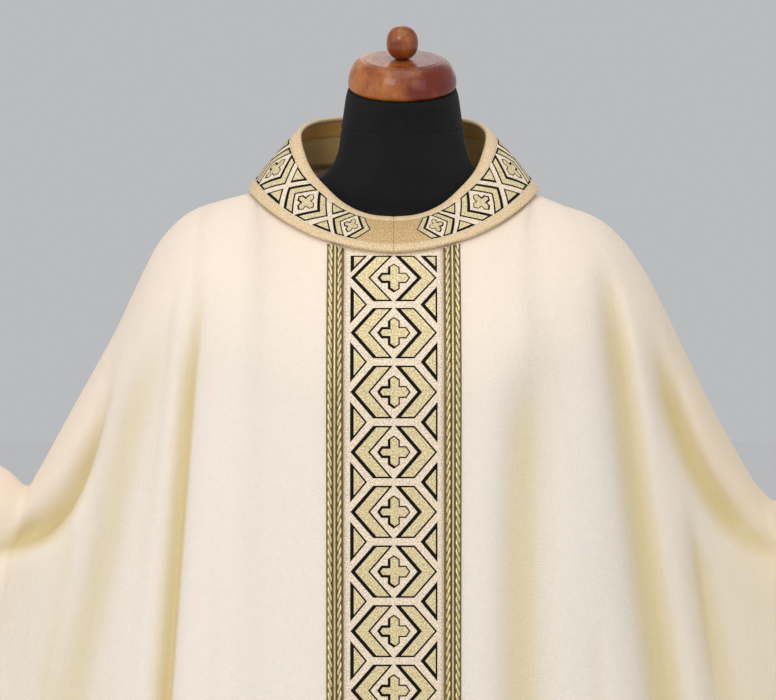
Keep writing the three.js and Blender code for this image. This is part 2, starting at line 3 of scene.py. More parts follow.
import bmesh
import bpy
import numpy as np
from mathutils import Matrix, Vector


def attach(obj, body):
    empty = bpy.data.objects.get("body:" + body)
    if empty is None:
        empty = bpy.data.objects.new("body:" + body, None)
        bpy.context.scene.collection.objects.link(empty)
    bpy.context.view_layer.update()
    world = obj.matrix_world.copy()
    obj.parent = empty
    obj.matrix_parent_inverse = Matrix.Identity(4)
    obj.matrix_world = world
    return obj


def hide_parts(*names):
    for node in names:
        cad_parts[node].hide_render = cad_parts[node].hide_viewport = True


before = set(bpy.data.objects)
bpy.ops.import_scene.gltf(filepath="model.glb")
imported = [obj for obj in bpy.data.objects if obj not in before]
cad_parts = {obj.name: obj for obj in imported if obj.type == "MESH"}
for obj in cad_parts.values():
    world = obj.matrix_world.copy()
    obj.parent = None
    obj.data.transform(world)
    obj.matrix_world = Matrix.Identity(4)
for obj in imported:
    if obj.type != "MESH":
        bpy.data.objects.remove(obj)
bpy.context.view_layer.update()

# A cream monastic chasuble on its dress form. Tables and sizes are in millimetres, with +X to the
# viewer's right, -Y the front and +Z up, and every mesh is turned into metres when it is made.
mm = 0.001
root = "root"


def table(columns, *rows, usual=()):
    # rows may leave out their last values, and usual then gives them
    names = columns.split()
    whole = [(*row, *usual[len(usual) - len(names) + len(row):]) for row in rows]
    return {name: np.array([row[k] for row in whole], float) for k, name in enumerate(names)}


# ---- camera, floor and light

shot = {
    "target": (-0.0063, 0.004, 1.277),
    "distance": 3.3,
    "elevation": 3.0,
    "lens": 133.1,
}


def addCamera():
    lift = math.radians(shot["elevation"])
    back = Vector((0, -math.cos(lift), math.sin(lift)))
    data = bpy.data.cameras.new("camera")
    data.lens = shot["lens"]
    data.clip_end = 60
    camera = bpy.data.objects.new("camera", data)
    camera.location = Vector(shot["target"]) + back * shot["distance"]
    camera.rotation_euler = (-back).to_track_quat("-Z", "Y").to_euler()
    bpy.context.scene.collection.objects.link(camera)
    bpy.context.scene.camera = camera


studio = {
    "floorRadius": 14.0,
    "floorColour": (0.95, 0.95, 0.945), "floorPale": 1.03,  # the palest patches, against that
    "airColour": (0.93, 0.94, 0.96),
    "airStrength": 0.53,
    # name, place, aimed at, size, power, colour
    "lamps": [
        ("key", (-1.7, -3.4, 2.8), (0, 0, 1.2), 1.7, 41, (1.0, 0.965, 0.925)),
        ("side", (-3.2, -1.7, 1.7), (-0.45, 0, 1.0), 1.6, 8, (1.0, 0.96, 0.92)),
        ("fill", (2.2, -3.1, 1.9), (0, 0, 1.15), 2.0, 14, (1.0, 0.96, 0.92)),
        ("top", (0.0, -0.9, 3.3), (0, 0, 1.3), 2.2, 19, (1.0, 0.97, 0.94)),
        ("rim", (0.6, 2.9, 3.0), (0, 0, 1.3), 2.2, 11, (1.0, 0.98, 0.95)),
    ],
}


def addStudio():
    scene = bpy.context.scene
    world = bpy.data.worlds.new("studio air")
    world.use_nodes = True
    background = world.node_tree.nodes["Background"]
    feedAll(world.node_tree, background, {"Color": studio["airColour"], "Strength": studio["airStrength"]})
    scene.world = world
    scene.view_settings.view_transform = "Standard"
    for name, place, aim, size, power, colour in studio["lamps"]:
        data = bpy.data.lights.new(name, "AREA")
        data.size = size
        data.energy = power
        data.color = colour
        lamp = bpy.data.objects.new(name, data)
        lamp.location = place
        lamp.rotation_euler = (Vector(aim) - Vector(place)).to_track_quat("-Z", "Y").to_euler()
        scene.collection.objects.link(lamp)
    turns = np.linspace(0, 2 * math.pi, 97)[:-1]
    radius = studio["floorRadius"]
    rim = [(radius * math.cos(a), radius * math.sin(a), 0) for a in turns]
    mesh = bpy.data.meshes.new("floor")
    mesh.from_pydata(rim, [], [list(range(len(rim)))])
    floor = bpy.data.objects.new("floor", mesh)
    scene.collection.objects.link(floor)
    material, tree, shader = newMaterial("pale floor")
    patches = addNode(tree, "ShaderNodeTexNoise", {"Scale": 3.0, "Detail": 3.0}).outputs["Fac"]
    pale = times(studio["floorColour"], studio["floorPale"])
    colour = mixColours(tree, patches, studio["floorColour"], pale)
    feedAll(tree, shader, {"Base Color": colour, "Roughness": 0.7})
    floor.data.materials.append(material)


# ---- node helpers

def linear(red, green, blue):
    def one(c):
        c = c / 255
        return c / 12.92 if c <= 0.04045 else ((c + 0.055) / 1.055) ** 2.4
    return (one(red), one(green), one(blue))


def times(colour, share):
    return tuple(c * share for c in colour)


def newMaterial(name):
    material = bpy.data.materials.new(name)
    material.use_nodes = True
    tree = material.node_tree
    return material, tree, tree.nodes["Principled BSDF"]


def feedAll(tree, node, values):
    # each value is the socket that feeds an input, or the input's own fixed value
    for key, value in values.items():
        socket = node.inputs[key]
        if isinstance(value, bpy.types.NodeSocket):
            tree.links.new(value, socket)
        else:
            socket.default_value = (*value, 1) if socket.type == "RGBA" else value
    return node


def addNode(tree, kind, values=None, **settings):
    node = tree.nodes.new(kind)
    for key, value in settings.items():
        setattr(node, key, value)
    return feedAll(tree, node, values or {})


def maths(tree, operation, a, b=0.0, clamp=False):
    return addNode(tree, "ShaderNodeMath", {0: a, 1: b}, operation=operation, use_clamp=clamp).outputs[0]


def mixColours(tree, factor, a, b):
    return addNode(tree, "ShaderNodeMix", {0: factor, 6: a, 7: b}, data_type="RGBA").outputs[2]


def remap(tree, value, low, high, newLow, newHigh):
    node = addNode(tree, "ShaderNodeMapRange", {
        "Value": value, "From Min": low, "From Max": high, "To Min": newLow, "To Max": newHigh})
    return node.outputs["Result"]


def stretched(tree, vector, scale):
    return addNode(tree, "ShaderNodeVectorMath", {0: vector, 1: scale}, operation="MULTIPLY").outputs[0]


def scaled(tree, vector, scale):
    return addNode(tree, "ShaderNodeVectorMath", {0: vector, "Scale": scale}, operation="SCALE").outputs[0]


def noise(tree, place, scale, detail, **more):
    return addNode(tree, "ShaderNodeTexNoise", {
        "Vector": place, "Scale": scale, "Detail": detail, **more}).outputs["Fac"]


def bump(tree, height, distance):
    return addNode(tree, "ShaderNodeBump", {"Height": height, "Distance": distance}).outputs["Normal"]


def mark(tree, name):
    # a value that the mesh carries at each point
    return addNode(tree, "ShaderNodeAttribute", attribute_name=name).outputs["Fac"]


def clothPlace(tree):
    # cloth coordinates, in metres along and across the threads
    return addNode(tree, "ShaderNodeUVMap", uv_map="cloth").outputs[0]


def objectPlace(tree):
    return addNode(tree, "ShaderNodeTexCoord").outputs["Object"]


def newGroup(name, inputs, outputs):
    # an input is a number with its first value, or a vector where that is None
    group = bpy.data.node_groups.new(name, "ShaderNodeTree")
    for label, start in inputs.items():
        kind = "NodeSocketVector" if start is None else "NodeSocketFloat"
        socket = group.interface.new_socket(name=label, in_out="INPUT", socket_type=kind)
        if start is not None:
            socket.default_value = start
    for label in outputs:
        group.interface.new_socket(name=label, in_out="OUTPUT", socket_type="NodeSocketFloat")
    return group, group.nodes.new("NodeGroupInput").outputs, group.nodes.new("NodeGroupOutput")


def plainWeave():
    # threads over and under each other, with thicker slubs along both directions
    group, given, wanted = newGroup(
        "plain weave", {"Cloth": None, "Pitch": 0.001, "Slub": 0.5}, ["Height", "Slubs"])
    cloth = given["Cloth"]
    turn = maths(group, "DIVIDE", math.pi, given["Pitch"])
    threads = addNode(group, "ShaderNodeSeparateXYZ", {0: scaled(group, cloth, turn)}).outputs
    crossing = maths(group, "MULTIPLY", maths(group, "SINE", threads[0]), maths(group, "SINE", threads[1]))
    weft = noise(group, stretched(group, cloth, (70, 900, 1)), 1.0, 2.0)
    warp = noise(group, stretched(group, cloth, (900, 60, 1)), 1.0, 2.0)
    slubs = maths(group, "SUBTRACT", maths(group, "ADD", weft, warp), 1.0)
    slubs = maths(group, "MULTIPLY", slubs, given["Slub"])
    height = maths(group, "ADD", maths(group, "MULTIPLY", crossing, 0.25), slubs)
    feedAll(group, wanted, {"Height": height, "Slubs": slubs})
    return group


def metalFlecks():
    # the broken glitter of flat metal thread woven in with silk
    group, given, wanted = newGroup(
        "metal flecks", {"Cloth": None, "Size": 0.0012}, ["Flecks", "Height", "Broad"])
    place = scaled(group, given["Cloth"], maths(group, "DIVIDE", 1.0, given["Size"]))
    fine = noise(group, place, 1.0, 2.0, Roughness=0.7)
    broad = noise(group, place, 0.16, 1.0)
    ribs = noise(group, stretched(group, place, (0.7, 2.4, 1)), 1.0, 0.0)
    feedAll(group, wanted, {"Flecks": remap(group, fine, 0.4, 0.62, 0, 1),
                            "Height": maths(group, "ADD", fine, ribs),
                            "Broad": remap(group, broad, 0.3, 0.7, 0, 1)})
    return group


def woodGrain():
    # turned wood: streaks along the block and wide blotches in its stain
    group, given, wanted = newGroup(
        "wood grain", {"Place": None, "Size": 0.03}, ["Streaks", "Blotches"])
    place = scaled(group, given["Place"], maths(group, "DIVIDE", 1.0, given["Size"]))
    streaks = noise(group, stretched(group, place, (6.0, 1.6, 2.2)), 1.0, 5.0, Roughness=0.6, Distortion=0.6)
    blotches = noise(group, place, 1.1, 2.0)
    feedAll(group, wanted, {"Streaks": remap(group, streaks, 0.3, 0.7, 0, 1),
                            "Blotches": remap(group, blotches, 0.34, 0.66, 0, 1)})
    return group


groups = {"weave": plainWeave(), "flecks": metalFlecks(), "grain": woodGrain()}


def placeGroup(tree, name, values):
    return addNode(tree, "ShaderNodeGroup", values, node_tree=groups[name]).outputs


# ---- materials

wool = {
    "colour": linear(244, 235, 224),
    # painted light: a warmer cream where the light from above falls on the shoulders
    "shoulder": linear(248, 232, 214),
    # painted shade: a darker, yellower cream laid into the fold hollows and over the wings, where shade falls
    "hollow": linear(220, 199, 124), "hollowTint": (0.75, 0.4),  # front, back
    "wingShadeShare": (0.1, 0.3),  # painted shade on the wings, left and right; the right, away from the light, gets more
    "fullFoldShade": 28.0,  # depth of fold, in millimetres, at which the painted shade in the hollow is whole
    "wingFrom": 200.0, "wingOver": 260.0,  # the wings' painted shade starts this far out, and grows over this width
    "litShoulderOver": 260.0,  # the shoulders' painted light fades over this way down
    "stitchWidth": 2.2,
    "weavePitch": 0.0011,
    "slub": 0.8,
    "shade": (0.955, 1.03),  # brightness from the thinnest place to the thickest slub
    "stitchDepth": 1.6, "bump": 0.00045,
    "roughness": 0.86,
    "sheen": 0.18,
}
patterned = {
    "ground": linear(255, 245, 226),
    "groundShade": linear(213, 184, 150),
    "fill": linear(243, 234, 194),
    "fillShade": linear(190, 160, 102),
    "outline": linear(9, 7, 5), "outlinePale": linear(38, 32, 24),
    "fleck": 0.0018, "bump": 0.00035, "broad": 0.25,  # the wide patches' share of the colour
    "outlineFleck": 0.0009, "outlineBump": 0.0002,
}
goldCloth = {
    "piece": linear(233, 206, 152),
    "pieceShade": linear(176, 138, 86),
    "tape": linear(242, 224, 188),
    "tapeShade": linear(204, 170, 122),
    "lining": linear(250, 192, 98),
    "liningBelow": linear(250, 208, 140),
    "liningDark": 0.78, "liningFleck": 0.0016, "liningBump": 0.0002,
}
braidThread = {
    "bright": linear(240, 224, 172),
    # painted shade: the rope's strands turn to this low down, between each other and the tape
    "dark": linear(114, 92, 56),
    "tape": linear(132, 110, 72),
    # painted shade on the cord's lower sides
    "cordShade": linear(138, 115, 72),
    "threads": (2600, 500, 1), "bump": 0.00012, "roughness": (0.42, 0.28),  # from dark threads to bright
}
wood = {
    "light": linear(194, 120, 54),
    "red": linear(112, 34, 12),
    "grain": 0.03,
    "litSide": (-0.045, 0.045),  # painted light: the wood goes from pale on the lit left to red on the right, between these
    "blotches": 0.62, "streaks": 0.4,
    "bump": 0.00008, "roughness": (0.3, 0.42), "coat": 0.38, "coatRoughness": 0.1,
}
jersey = {
    "dark": linear(9, 9, 10), "light": linear(18, 18, 19),
    "knit": (900, 900, 700), "lint": 26.0, "bump": 0.0003, "roughness": 0.9,
}
steel = {
    "dark": linear(30, 30, 32), "light": linear(48, 48, 50),
    "grains": 180.0, "bump": 0.0001, "roughness": (0.35, 0.5), "metallic": 0.6,
}


def woolMaterial():
    material, tree, shader = newMaterial("cream wool")
    weave = placeGroup(tree, "weave", {
        "Cloth": clothPlace(tree), "Pitch": wool["weavePitch"], "Slub": wool["slub"]})
    # painted light: the cloth turns to the warmer shoulder cream towards the top
    base = mixColours(tree, mark(tree, "upper"), wool["colour"], wool["shoulder"])
    # painted shade: the fold hollows and the wings take the darker, yellower cream
    base = mixColours(tree, mark(tree, "hollow"), base, wool["hollow"])
    shade = remap(tree, weave["Slubs"], -0.3, 0.3, *wool["shade"])
    stitches = maths(tree, "MULTIPLY", mark(tree, "stitch"), wool["stitchDepth"])
    feedAll(tree, shader, {
        "Base Color": scaled(tree, base, shade),
        "Normal": bump(tree, maths(tree, "SUBTRACT", weave["Height"], stitches), wool["bump"]),
        "Roughness": wool["roughness"], "Sheen Weight": wool["sheen"], "Sheen Roughness": 0.5,
        "Specular IOR Level": 0.3})
    return material


def fleckedMaterial(name, colour, shade, metallic, roughness):
    material, tree, shader = newMaterial(name)
    flecks = placeGroup(tree, "flecks", {"Cloth": clothPlace(tree), "Size": patterned["fleck"]})
    base = mixColours(tree, flecks["Flecks"], shade, colour)
    patches = maths(tree, "MULTIPLY", flecks["Broad"], patterned["broad"])
    base = mixColours(tree, patches, base, colour)
    feedAll(tree, shader, {
        "Base Color": base,
        "Roughness": remap(tree, flecks["Flecks"], 0, 1, roughness + 0.15, roughness - 0.08),
        "Metallic": remap(tree, flecks["Flecks"], 0, 1, metallic * 0.4, metallic),
        "Normal": bump(tree, flecks["Height"], patterned["bump"])})
    return material


def liningMaterial():
    material, tree, shader = newMaterial("collar lining")
    flecks = placeGroup(tree, "flecks", {"Cloth": clothPlace(tree), "Size": goldCloth["liningFleck"]})
    base = mixColours(tree, mark(tree, "below"), goldCloth["lining"], goldCloth["liningBelow"])
    darker = maths(tree, "MULTIPLY", flecks["Flecks"], 0.35)
    feedAll(tree, shader, {
        "Base Color": mixColours(tree, darker, base, times(goldCloth["lining"], goldCloth["liningDark"])),
        "Normal": bump(tree, flecks["Height"], goldCloth["liningBump"]),
        "Roughness": 0.6, "Sheen Weight": 0.1})
    return material


def outlineMaterial():
    material, tree, shader = newMaterial("black thread")
    flecks = placeGroup(tree, "flecks", {"Cloth": clothPlace(tree), "Size": patterned["outlineFleck"]})
    paler = maths(tree, "MULTIPLY", flecks["Flecks"], 0.2)
    feedAll(tree, shader, {
        "Base Color": mixColours(tree, paler, patterned["outline"], patterned["outlinePale"]),
        "Normal": bump(tree, flecks["Height"], patterned["outlineBump"]),
        "Roughness": 0.85, "Specular IOR Level": 0.2})
    return material


def braidMaterial(name, bright, dark, metallic=0.75):
    material, tree, shader = newMaterial(name)
    threads = noise(tree, stretched(tree, clothPlace(tree), braidThread["threads"]), 1.0, 1.0)
    threads = remap(tree, threads, 0.3, 0.7, 0, 1)
    top = mixColours(tree, threads, times(bright, 0.8), bright)
    # painted shade: low on the threads, near the tape, the colour turns to the dark one
    feedAll(tree, shader, {
        "Base Color": mixColours(tree, mark(tree, "litCrest"), dark, top),
        "Roughness": remap(tree, threads, 0, 1, *braidThread["roughness"]),
        "Normal": bump(tree, threads, braidThread["bump"]), "Metallic": metallic})
    return material


def jerseyMaterial():
    material, tree, shader = newMaterial("black jersey")
    place = objectPlace(tree)
    knit = addNode(tree, "ShaderNodeTexVoronoi", {
        "Vector": stretched(tree, place, jersey["knit"]), "Scale": 1.0})
    lint = remap(tree, noise(tree, place, jersey["lint"], 4.0), 0.3, 0.7, 0, 1)
    feedAll(tree, shader, {
        "Base Color": mixColours(tree, lint, jersey["dark"], jersey["light"]),
        "Normal": bump(tree, knit.outputs["Distance"], jersey["bump"]),
        "Roughness": jersey["roughness"], "Sheen Weight": 0.05, "Specular IOR Level": 0.25})
    return material


def woodMaterial():
    material, tree, shader = newMaterial("polished wood")
    place = objectPlace(tree)
    grain = placeGroup(tree, "grain", {"Place": place, "Size": wood["grain"]})
    # painted light from the left: paler on the left side, redder on the right, with the stain's own blotches
    # added
    sideways = addNode(tree, "ShaderNodeSeparateXYZ", {0: place}).outputs[0]
    pale = remap(tree, sideways, *wood["litSide"], 0.6, -0.4)
    blotches = maths(tree, "MULTIPLY", grain["Blotches"], wood["blotches"])
    pale = maths(tree, "ADD", pale, blotches, clamp=True)
    stainAndSideLight = mixColours(tree, pale, wood["red"], wood["light"])
    darker = maths(tree, "MULTIPLY", grain["Streaks"], wood["streaks"])
    feedAll(tree, shader, {
        "Base Color": mixColours(tree, darker, stainAndSideLight, times(wood["red"], 0.5)),
        "Roughness": remap(tree, grain["Streaks"], 0, 1, *wood["roughness"]),
        "Normal": bump(tree, grain["Streaks"], wood["bump"]),
        "Specular IOR Level": 0.3, "Coat Weight": wood["coat"], "Coat Roughness": wood["coatRoughness"]})
    return material


def steelMaterial():
    material, tree, shader = newMaterial("black steel")
    grains = noise(tree, objectPlace(tree), steel["grains"], 3.0)  # the paint's own fine texture
    feedAll(tree, shader, {
        "Base Color": mixColours(tree, grains, steel["dark"], steel["light"]),
        "Roughness": remap(tree, grains, 0.3, 0.7, *steel["roughness"]),
        "Normal": bump(tree, grains, steel["bump"]), "Metallic": steel["metallic"]})
    return material


materials = {
    "wool": woolMaterial(),
    "ground": fleckedMaterial("band ground", patterned["ground"], patterned["groundShade"], 0.1, 0.6),
    "fill": fleckedMaterial("gold fill", patterned["fill"], patterned["fillShade"], 0.35, 0.5),
    "outline": outlineMaterial(),
    "piece": fleckedMaterial("gold cloth", goldCloth["piece"], goldCloth["pieceShade"], 0.35, 0.5),
    "tape": fleckedMaterial("gold tape", goldCloth["tape"], goldCloth["tapeShade"], 0.15, 0.55),
    "lining": liningMaterial(),
    "braid": braidMaterial("gold rope", braidThread["bright"], braidThread["dark"]),
    "braidCord": braidMaterial("gold cord", braidThread["bright"], braidThread["cordShade"]),
    "braidTape": braidMaterial("braid tape", braidThread["tape"], braidThread["tape"], 0.3),
    "jersey": jerseyMaterial(),
    "wood": woodMaterial(),
    "steel": steelMaterial(),
}
print("materials made")


# ---- mesh helpers

seatY = 4.0  # the garment's own frame stands this far behind the part's origin
formShift = 10.0  # and the form this far to its right


def smooth(v):
    t = np.clip(v, 0, 1)
    return t * t * (3 - 2 * t)


def unit(v):
    return v / np.maximum(np.linalg.norm(v, axis=-1, keepdims=True), 1e-12)


def along(column, row):
    # a table's column at fractional rows, on a smooth curve through them
    row = np.asarray(row, float)
    i = np.clip(np.floor(row).astype(int), 0, len(column) - 2)
    t = row - i
    a, b, c, d = (column[np.clip(i + k, 0, len(column) - 1)] for k in (-1, 0, 1, 2))
    return ((2 * t**3 - 3 * t**2 + 1) * b + (t**3 - 2 * t**2 + t) * (c - a) / 2
            + (3 * t**2 - 2 * t**3) * c + (t**3 - t**2) * (d - b) / 2)


def makePiece(name, points, faces, used, uvs=None, marks=None, faceMaterials=None):
    # points in millimetres, and names from the materials above
    mesh = bpy.data.meshes.new(name)
    points = np.asarray(points).reshape(-1, 3) * mm
    mesh.from_pydata(points.tolist(), [], [list(map(int, f)) for f in faces])
    for material in used:
        mesh.materials.append(materials[material])
    if faceMaterials is not None:
        mesh.polygons.foreach_set("material_index", np.asarray(faceMaterials, np.int32))
    if uvs is not None:
        layer = mesh.uv_layers.new(name="cloth")
        corner = np.empty(len(mesh.loops), np.int32)
        mesh.loops.foreach_get("vertex_index", corner)
        flat = np.asarray(uvs).reshape(-1, 2)[corner] * mm
        layer.uv.foreach_set("vector", flat.astype(np.float32).ravel())
    for key, values in (marks or {}).items():
        carried = mesh.attributes.new(key, "FLOAT", "POINT")
        carried.data.foreach_set("value", np.asarray(values, np.float32).ravel())
    mesh.shade_smooth()
    mesh.update()
    piece = bpy.data.objects.new(name, mesh)
    bpy.context.scene.collection.objects.link(piece)
    return piece


def gridFaces(columns, rows, loopColumns=False, loopRows=False, flip=False):
    i = np.arange(columns if loopColumns else columns - 1)
    j = np.arange(rows if loopRows else rows - 1)
    i, j = (a.ravel() for a in np.meshgrid(i, j, indexing="ij"))
    i2, j2 = (i + 1) % columns, (j + 1) % rows
    quads = np.stack([i * rows + j, i * rows + j2, i2 * rows + j2, i2 * rows + j], 1)
    return quads[:, ::-1] if flip else quads


def thicken(piece, thickness):
    modifier = piece.modifiers.new("thickness", "SOLIDIFY")
    modifier.thickness = thickness * mm
    modifier.offset = -1
    return piece


def finish(piece, slot, *nodes):
    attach(piece, root)
    if nodes:
        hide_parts(*nodes)
    return piece


# ---- collar

collar = {
    "rimHalfWidth": 108, "rimY": 3, "rimHalfDepth": 89,
    "baseHalfWidth": 165, "baseY": -15, "baseHalfDepth": 127,
    "bow": 2,  # swells outwards by this much, half way down
    "wall": 3,
    "bandFrom": 0.16, "bandTo": 0.84,  # shares of the width that the patterned band fills
    "bandStart": 7.5,  # degrees from the front seam
    "width": 70.0, "degreeWidth": 2.3,  # usual width, and the width of one degree, for laying the weave
}
collarRows = table(
    "angle rimZ baseZ",
    (0, 1430, 1393), (15, 1433, 1398), (30, 1444.5, 1408.5), (45, 1464, 1424), (60, 1484, 1441),
    (75, 1508, 1455), (90, 1526, 1461), (120, 1541, 1470), (150, 1547, 1477), (180, 1548, 1480))


def collarPoint(angle, down, lift=0.0):
    # angle in degrees from the centre front, negative to the left. down is 0 at the rim and 1 at the seam
    angle, down, lift = np.broadcast_arrays(*(np.asarray(v, float) for v in (angle, down, lift)))
    turn = np.radians(np.abs(angle))
    side = np.where(angle < 0, -1.0, 1.0)
    row = np.interp(np.abs(angle), collarRows["angle"], np.arange(len(collarRows["angle"])))

    def ring(which, z):
        return np.stack([side * collar[which + "HalfWidth"] * np.sin(turn),
                         collar[which + "Y"] - collar[which + "HalfDepth"] * np.cos(turn), z], -1)
    rim = ring("rim", along(collarRows["rimZ"], row))
    base = ring("base", along(collarRows["baseZ"], row))
    down1 = down[..., None]
    tangent = np.stack([side * np.cos(turn), np.sin(turn), np.zeros_like(turn)], -1)
    normal = unit(np.cross(unit(base - rim), tangent) * -side[..., None])
    normal = np.where(normal[..., 2:] < 0, -normal, normal)
    rise = collar["bow"] * 4 * down1 * (1 - down1) + lift[..., None]
    return rim + (base - rim) * down1 + normal * rise


# ---- panels

frontNeck = table(
    "angle hangY drop power hemX hemZ",
    (0, -200, 175, 1, 0, 200), (30, -199, 180, 1, 78, 200), (60, -194, 188, 0.88, 145, 203),
    (90, -182, 190, 0.66, 205, 209))
backNeck = table(
    "angle hangY drop power hemX hemZ",
    (180, 134, 150, 1, 0, 186), (150, 133, 150, 1, 78, 187), (120, 128, 155, 0.88, 145, 191),
    (90, 117, 160, 0.66, 205, 199))
shoulderSeam = table(
    "out leftZ rightZ seamY frontY backY drop hemX hemZ",
    (192, 1450, 1444, -12, -170, 109, 178, 245, 217),
    (224, 1440, 1433, -8, -151, 98, 165, 290, 230),
    (247, 1425, 1419, -7, -134, 89, 152, 327, 245),
    (270, 1398, 1394, -7, -119, 81, 142, 364, 263),
    (293, 1353, 1358, -8, -107, 74, 132, 400, 285),
    (316, 1304, 1312, -9, -98, 67, 126, 434, 311),
    (339, 1262, 1265, -11, -92, 61, 120, 466, 341),
    (362, 1221, 1218, -13, -88, 55, 114, 496, 375),
    (385, 1179, 1175, -16, -85, 50, 104, 522, 411),
    (406, 1141, 1139, -18, -83, 45, 88, 544, 448),
    (420, 1122, 1119, -20, -83, 42, 72, 560, 482),
    (442, 1140, 1104, -23, -84, 38, 62, 576, 516),
    (484, 1166, 1115, -29, -87, 31, 58, 592, 549),
    (540, 1195, 1143, -36, -92, 22, 57, 607, 580),
    (598, 1222, 1176, -44, -98, 12, 56, 621, 608),
    (655, 1246, 1207, -52, -105, 2, 56, 634, 634))
panel = {
    "cloth": 1.8,
    "neckShare": 0.26, "arcShare": 0.28,
    "tuckDown": 0.935, "tuckUnder": 0.7, "tuckUnderAtSide": 6.4,
    "seamPower": 0.5, "seamHalf": 0.15,
    "clearOfSeam": 70.0,
    "backLower": 10.0,  # the back's hem hangs this much lower
    "kinkSpread": 0.05, "kinkDown": 60.0, "kinkRounds": 140,
    "lapReach": 10.0,  # from a fold's line to where the cloth beside it has moved most
    "columns": 480, "arcRows": 46, "hangRows": 124,
    "closeColumns": (0.37, 0.07, 1.5),  # where they stand closer, over what spread, and how much closer
    "hemWidth": 24.0, "hemRows": 3, "hemColumns": 7,
}

# Folds run from a start, past a bend, to an end, as seen from the front. in and out are their half
# widths towards the middle and away from it, at both ends. edge squares their sides, and lap is how far
# the cloth beside them, towards the middle, lies over the hollow. starts is the share of its length over
# which a fold deepens, and fades is 1 where it runs out again before its end.
def foldTable(*rows):
    return table("x0 z0 x1 z1 x2 z2 in0 in1 out0 out1 depth starts fades edge lap", *rows,
                 usual=(0.22, 0, 2.0, 0))


frontFolds = foldTable(
    (-205.5, 1400, -254, 800, -294, 190, 4.5, 5.5, 16, 33, 34, 0.15, 0, 1.8, 12),
    (-252, 1350, -330, 1040, -490, 320, 14, 34, 16, 38, 17),
    (-311, 1300, -336, 990, -500, 1080, 5, 16, 11, 50, 22, 0.34, 1, 2.0, 7),
    (-452, 1010, -480, 860, -560, 470, 22, 36, 22, 36, 17),
    (-560, 1130, -566, 900, -606, 560, 16, 24, 14, 22, 20),
    (152, 1316, 120, 1060, 172, 190, 22, 36, 22, 36, 21),
    (228, 1410, 262, 1180, 398, 240, 12, 36, 12, 32, 24, 0.22, 0, 2.6),
    (286, 1340, 312, 1100, 476, 1012, 12, 24, 14, 26, 25, 0.3, 1),
    (328, 1110, 372, 940, 486, 330, 13, 26, 24, 40, 17),
    (545, 1090, 556, 860, 590, 540, 18, 26, 18, 26, 20))
frontCreases = foldTable(
    (-240, 1384, -262, 1170, -318, 760, 5, 9, 9, 15, 5, 0.22, 1, 1.6),
    (-188, 1150, -190, 800, -206, 300, 12, 20, 12, 18, 4.5, 0.22, 1),
    (-112, 900, -122, 640, -138, 230, 12, 26, 14, 30, 5),
    (127, 1396, 190, 1240, 210, 1040, 6, 10, 9, 14, 5, 0.22, 1, 1.7),
    (212, 1060, 236, 760, 268, 230, 8, 14, 12, 22, 8),
    (330, 1130, 350, 960, 378, 800, 7, 10, 9, 12, 7, 0.22, 1, 1.6),
    (-396, 1096, -430, 1040, -520, 1010, 9, 14, 10, 16, 6, 0.22, 1),
    (398, 1080, 440, 1030, 540, 1000, 9, 14, 10, 16, 6, 0.22, 1),
    (-340, 900, -368, 660, -420, 300, 12, 20, 12, 22, 7),
    (-354, 1120, -376, 980, -424, 740, 7, 14, 28, 46, 8, 0.2, 1, 1.8),
    (90, 700, 96, 480, 108, 210, 12, 22, 12, 22, 5),
    (-505, 1120, -520, 930, -560, 640, 9, 14, 10, 16, 6, 0.22, 1),
    (420, 900, 452, 700, 520, 450, 14, 20, 14, 20, 8, 0.22, 1))
backFolds = foldTable(
    (-120, 1330, -112, 900, -150, 180, 22, 40, 22, 40, 20),
    (-232, 1372, -262, 1040, -350, 230, 12, 32, 16, 36, 27, 0.22, 0, 2.0, 5),
    (-305, 1296, -345, 1120, -480, 1050, 12, 24, 20, 26, 26, 0.22, 1),
    (-430, 1030, -466, 860, -540, 440, 20, 34, 20, 36, 16),
    (138, 1300, 152, 900, 196, 180, 22, 38, 22, 38, 19),
    (240, 1360, 276, 1020, 372, 240, 14, 32, 14, 36, 26, 0.22, 0, 2.0, 6),
    (300, 1300, 330, 1100, 470, 1020, 12, 24, 18, 26, 26, 0.22, 1),
    (448, 1010, 480, 830, 556, 460, 22, 34, 22, 36, 16))
backCreases = foldTable(
    (-60, 1300, -40, 1000, -48, 700, 14, 20, 14, 24, 4, 0.22, 1),
    (30, 1180, 34, 760, 20, 230, 14, 26, 16, 30, 6),
    (-190, 1240, -196, 900, -236, 300, 9, 14, 9, 16, 6, 0.22, 0, 1.8),
    (196, 1280, 214, 1000, 236, 640, 8, 12, 9, 15, 6, 0.22, 1, 1.8),
    (-330, 1000, -352, 760, -420, 330, 12, 20, 12, 22, 8),
    (338, 1040, 368, 820, 420, 520, 10, 16, 12, 18, 7, 0.22, 1),
    (-505, 1110, -520, 930, -552, 700, 10, 14, 10, 16, 6, 0.22, 1),
    (520, 1060, 536, 900, 560, 660, 10, 14, 10, 16, 6, 0.22, 1))


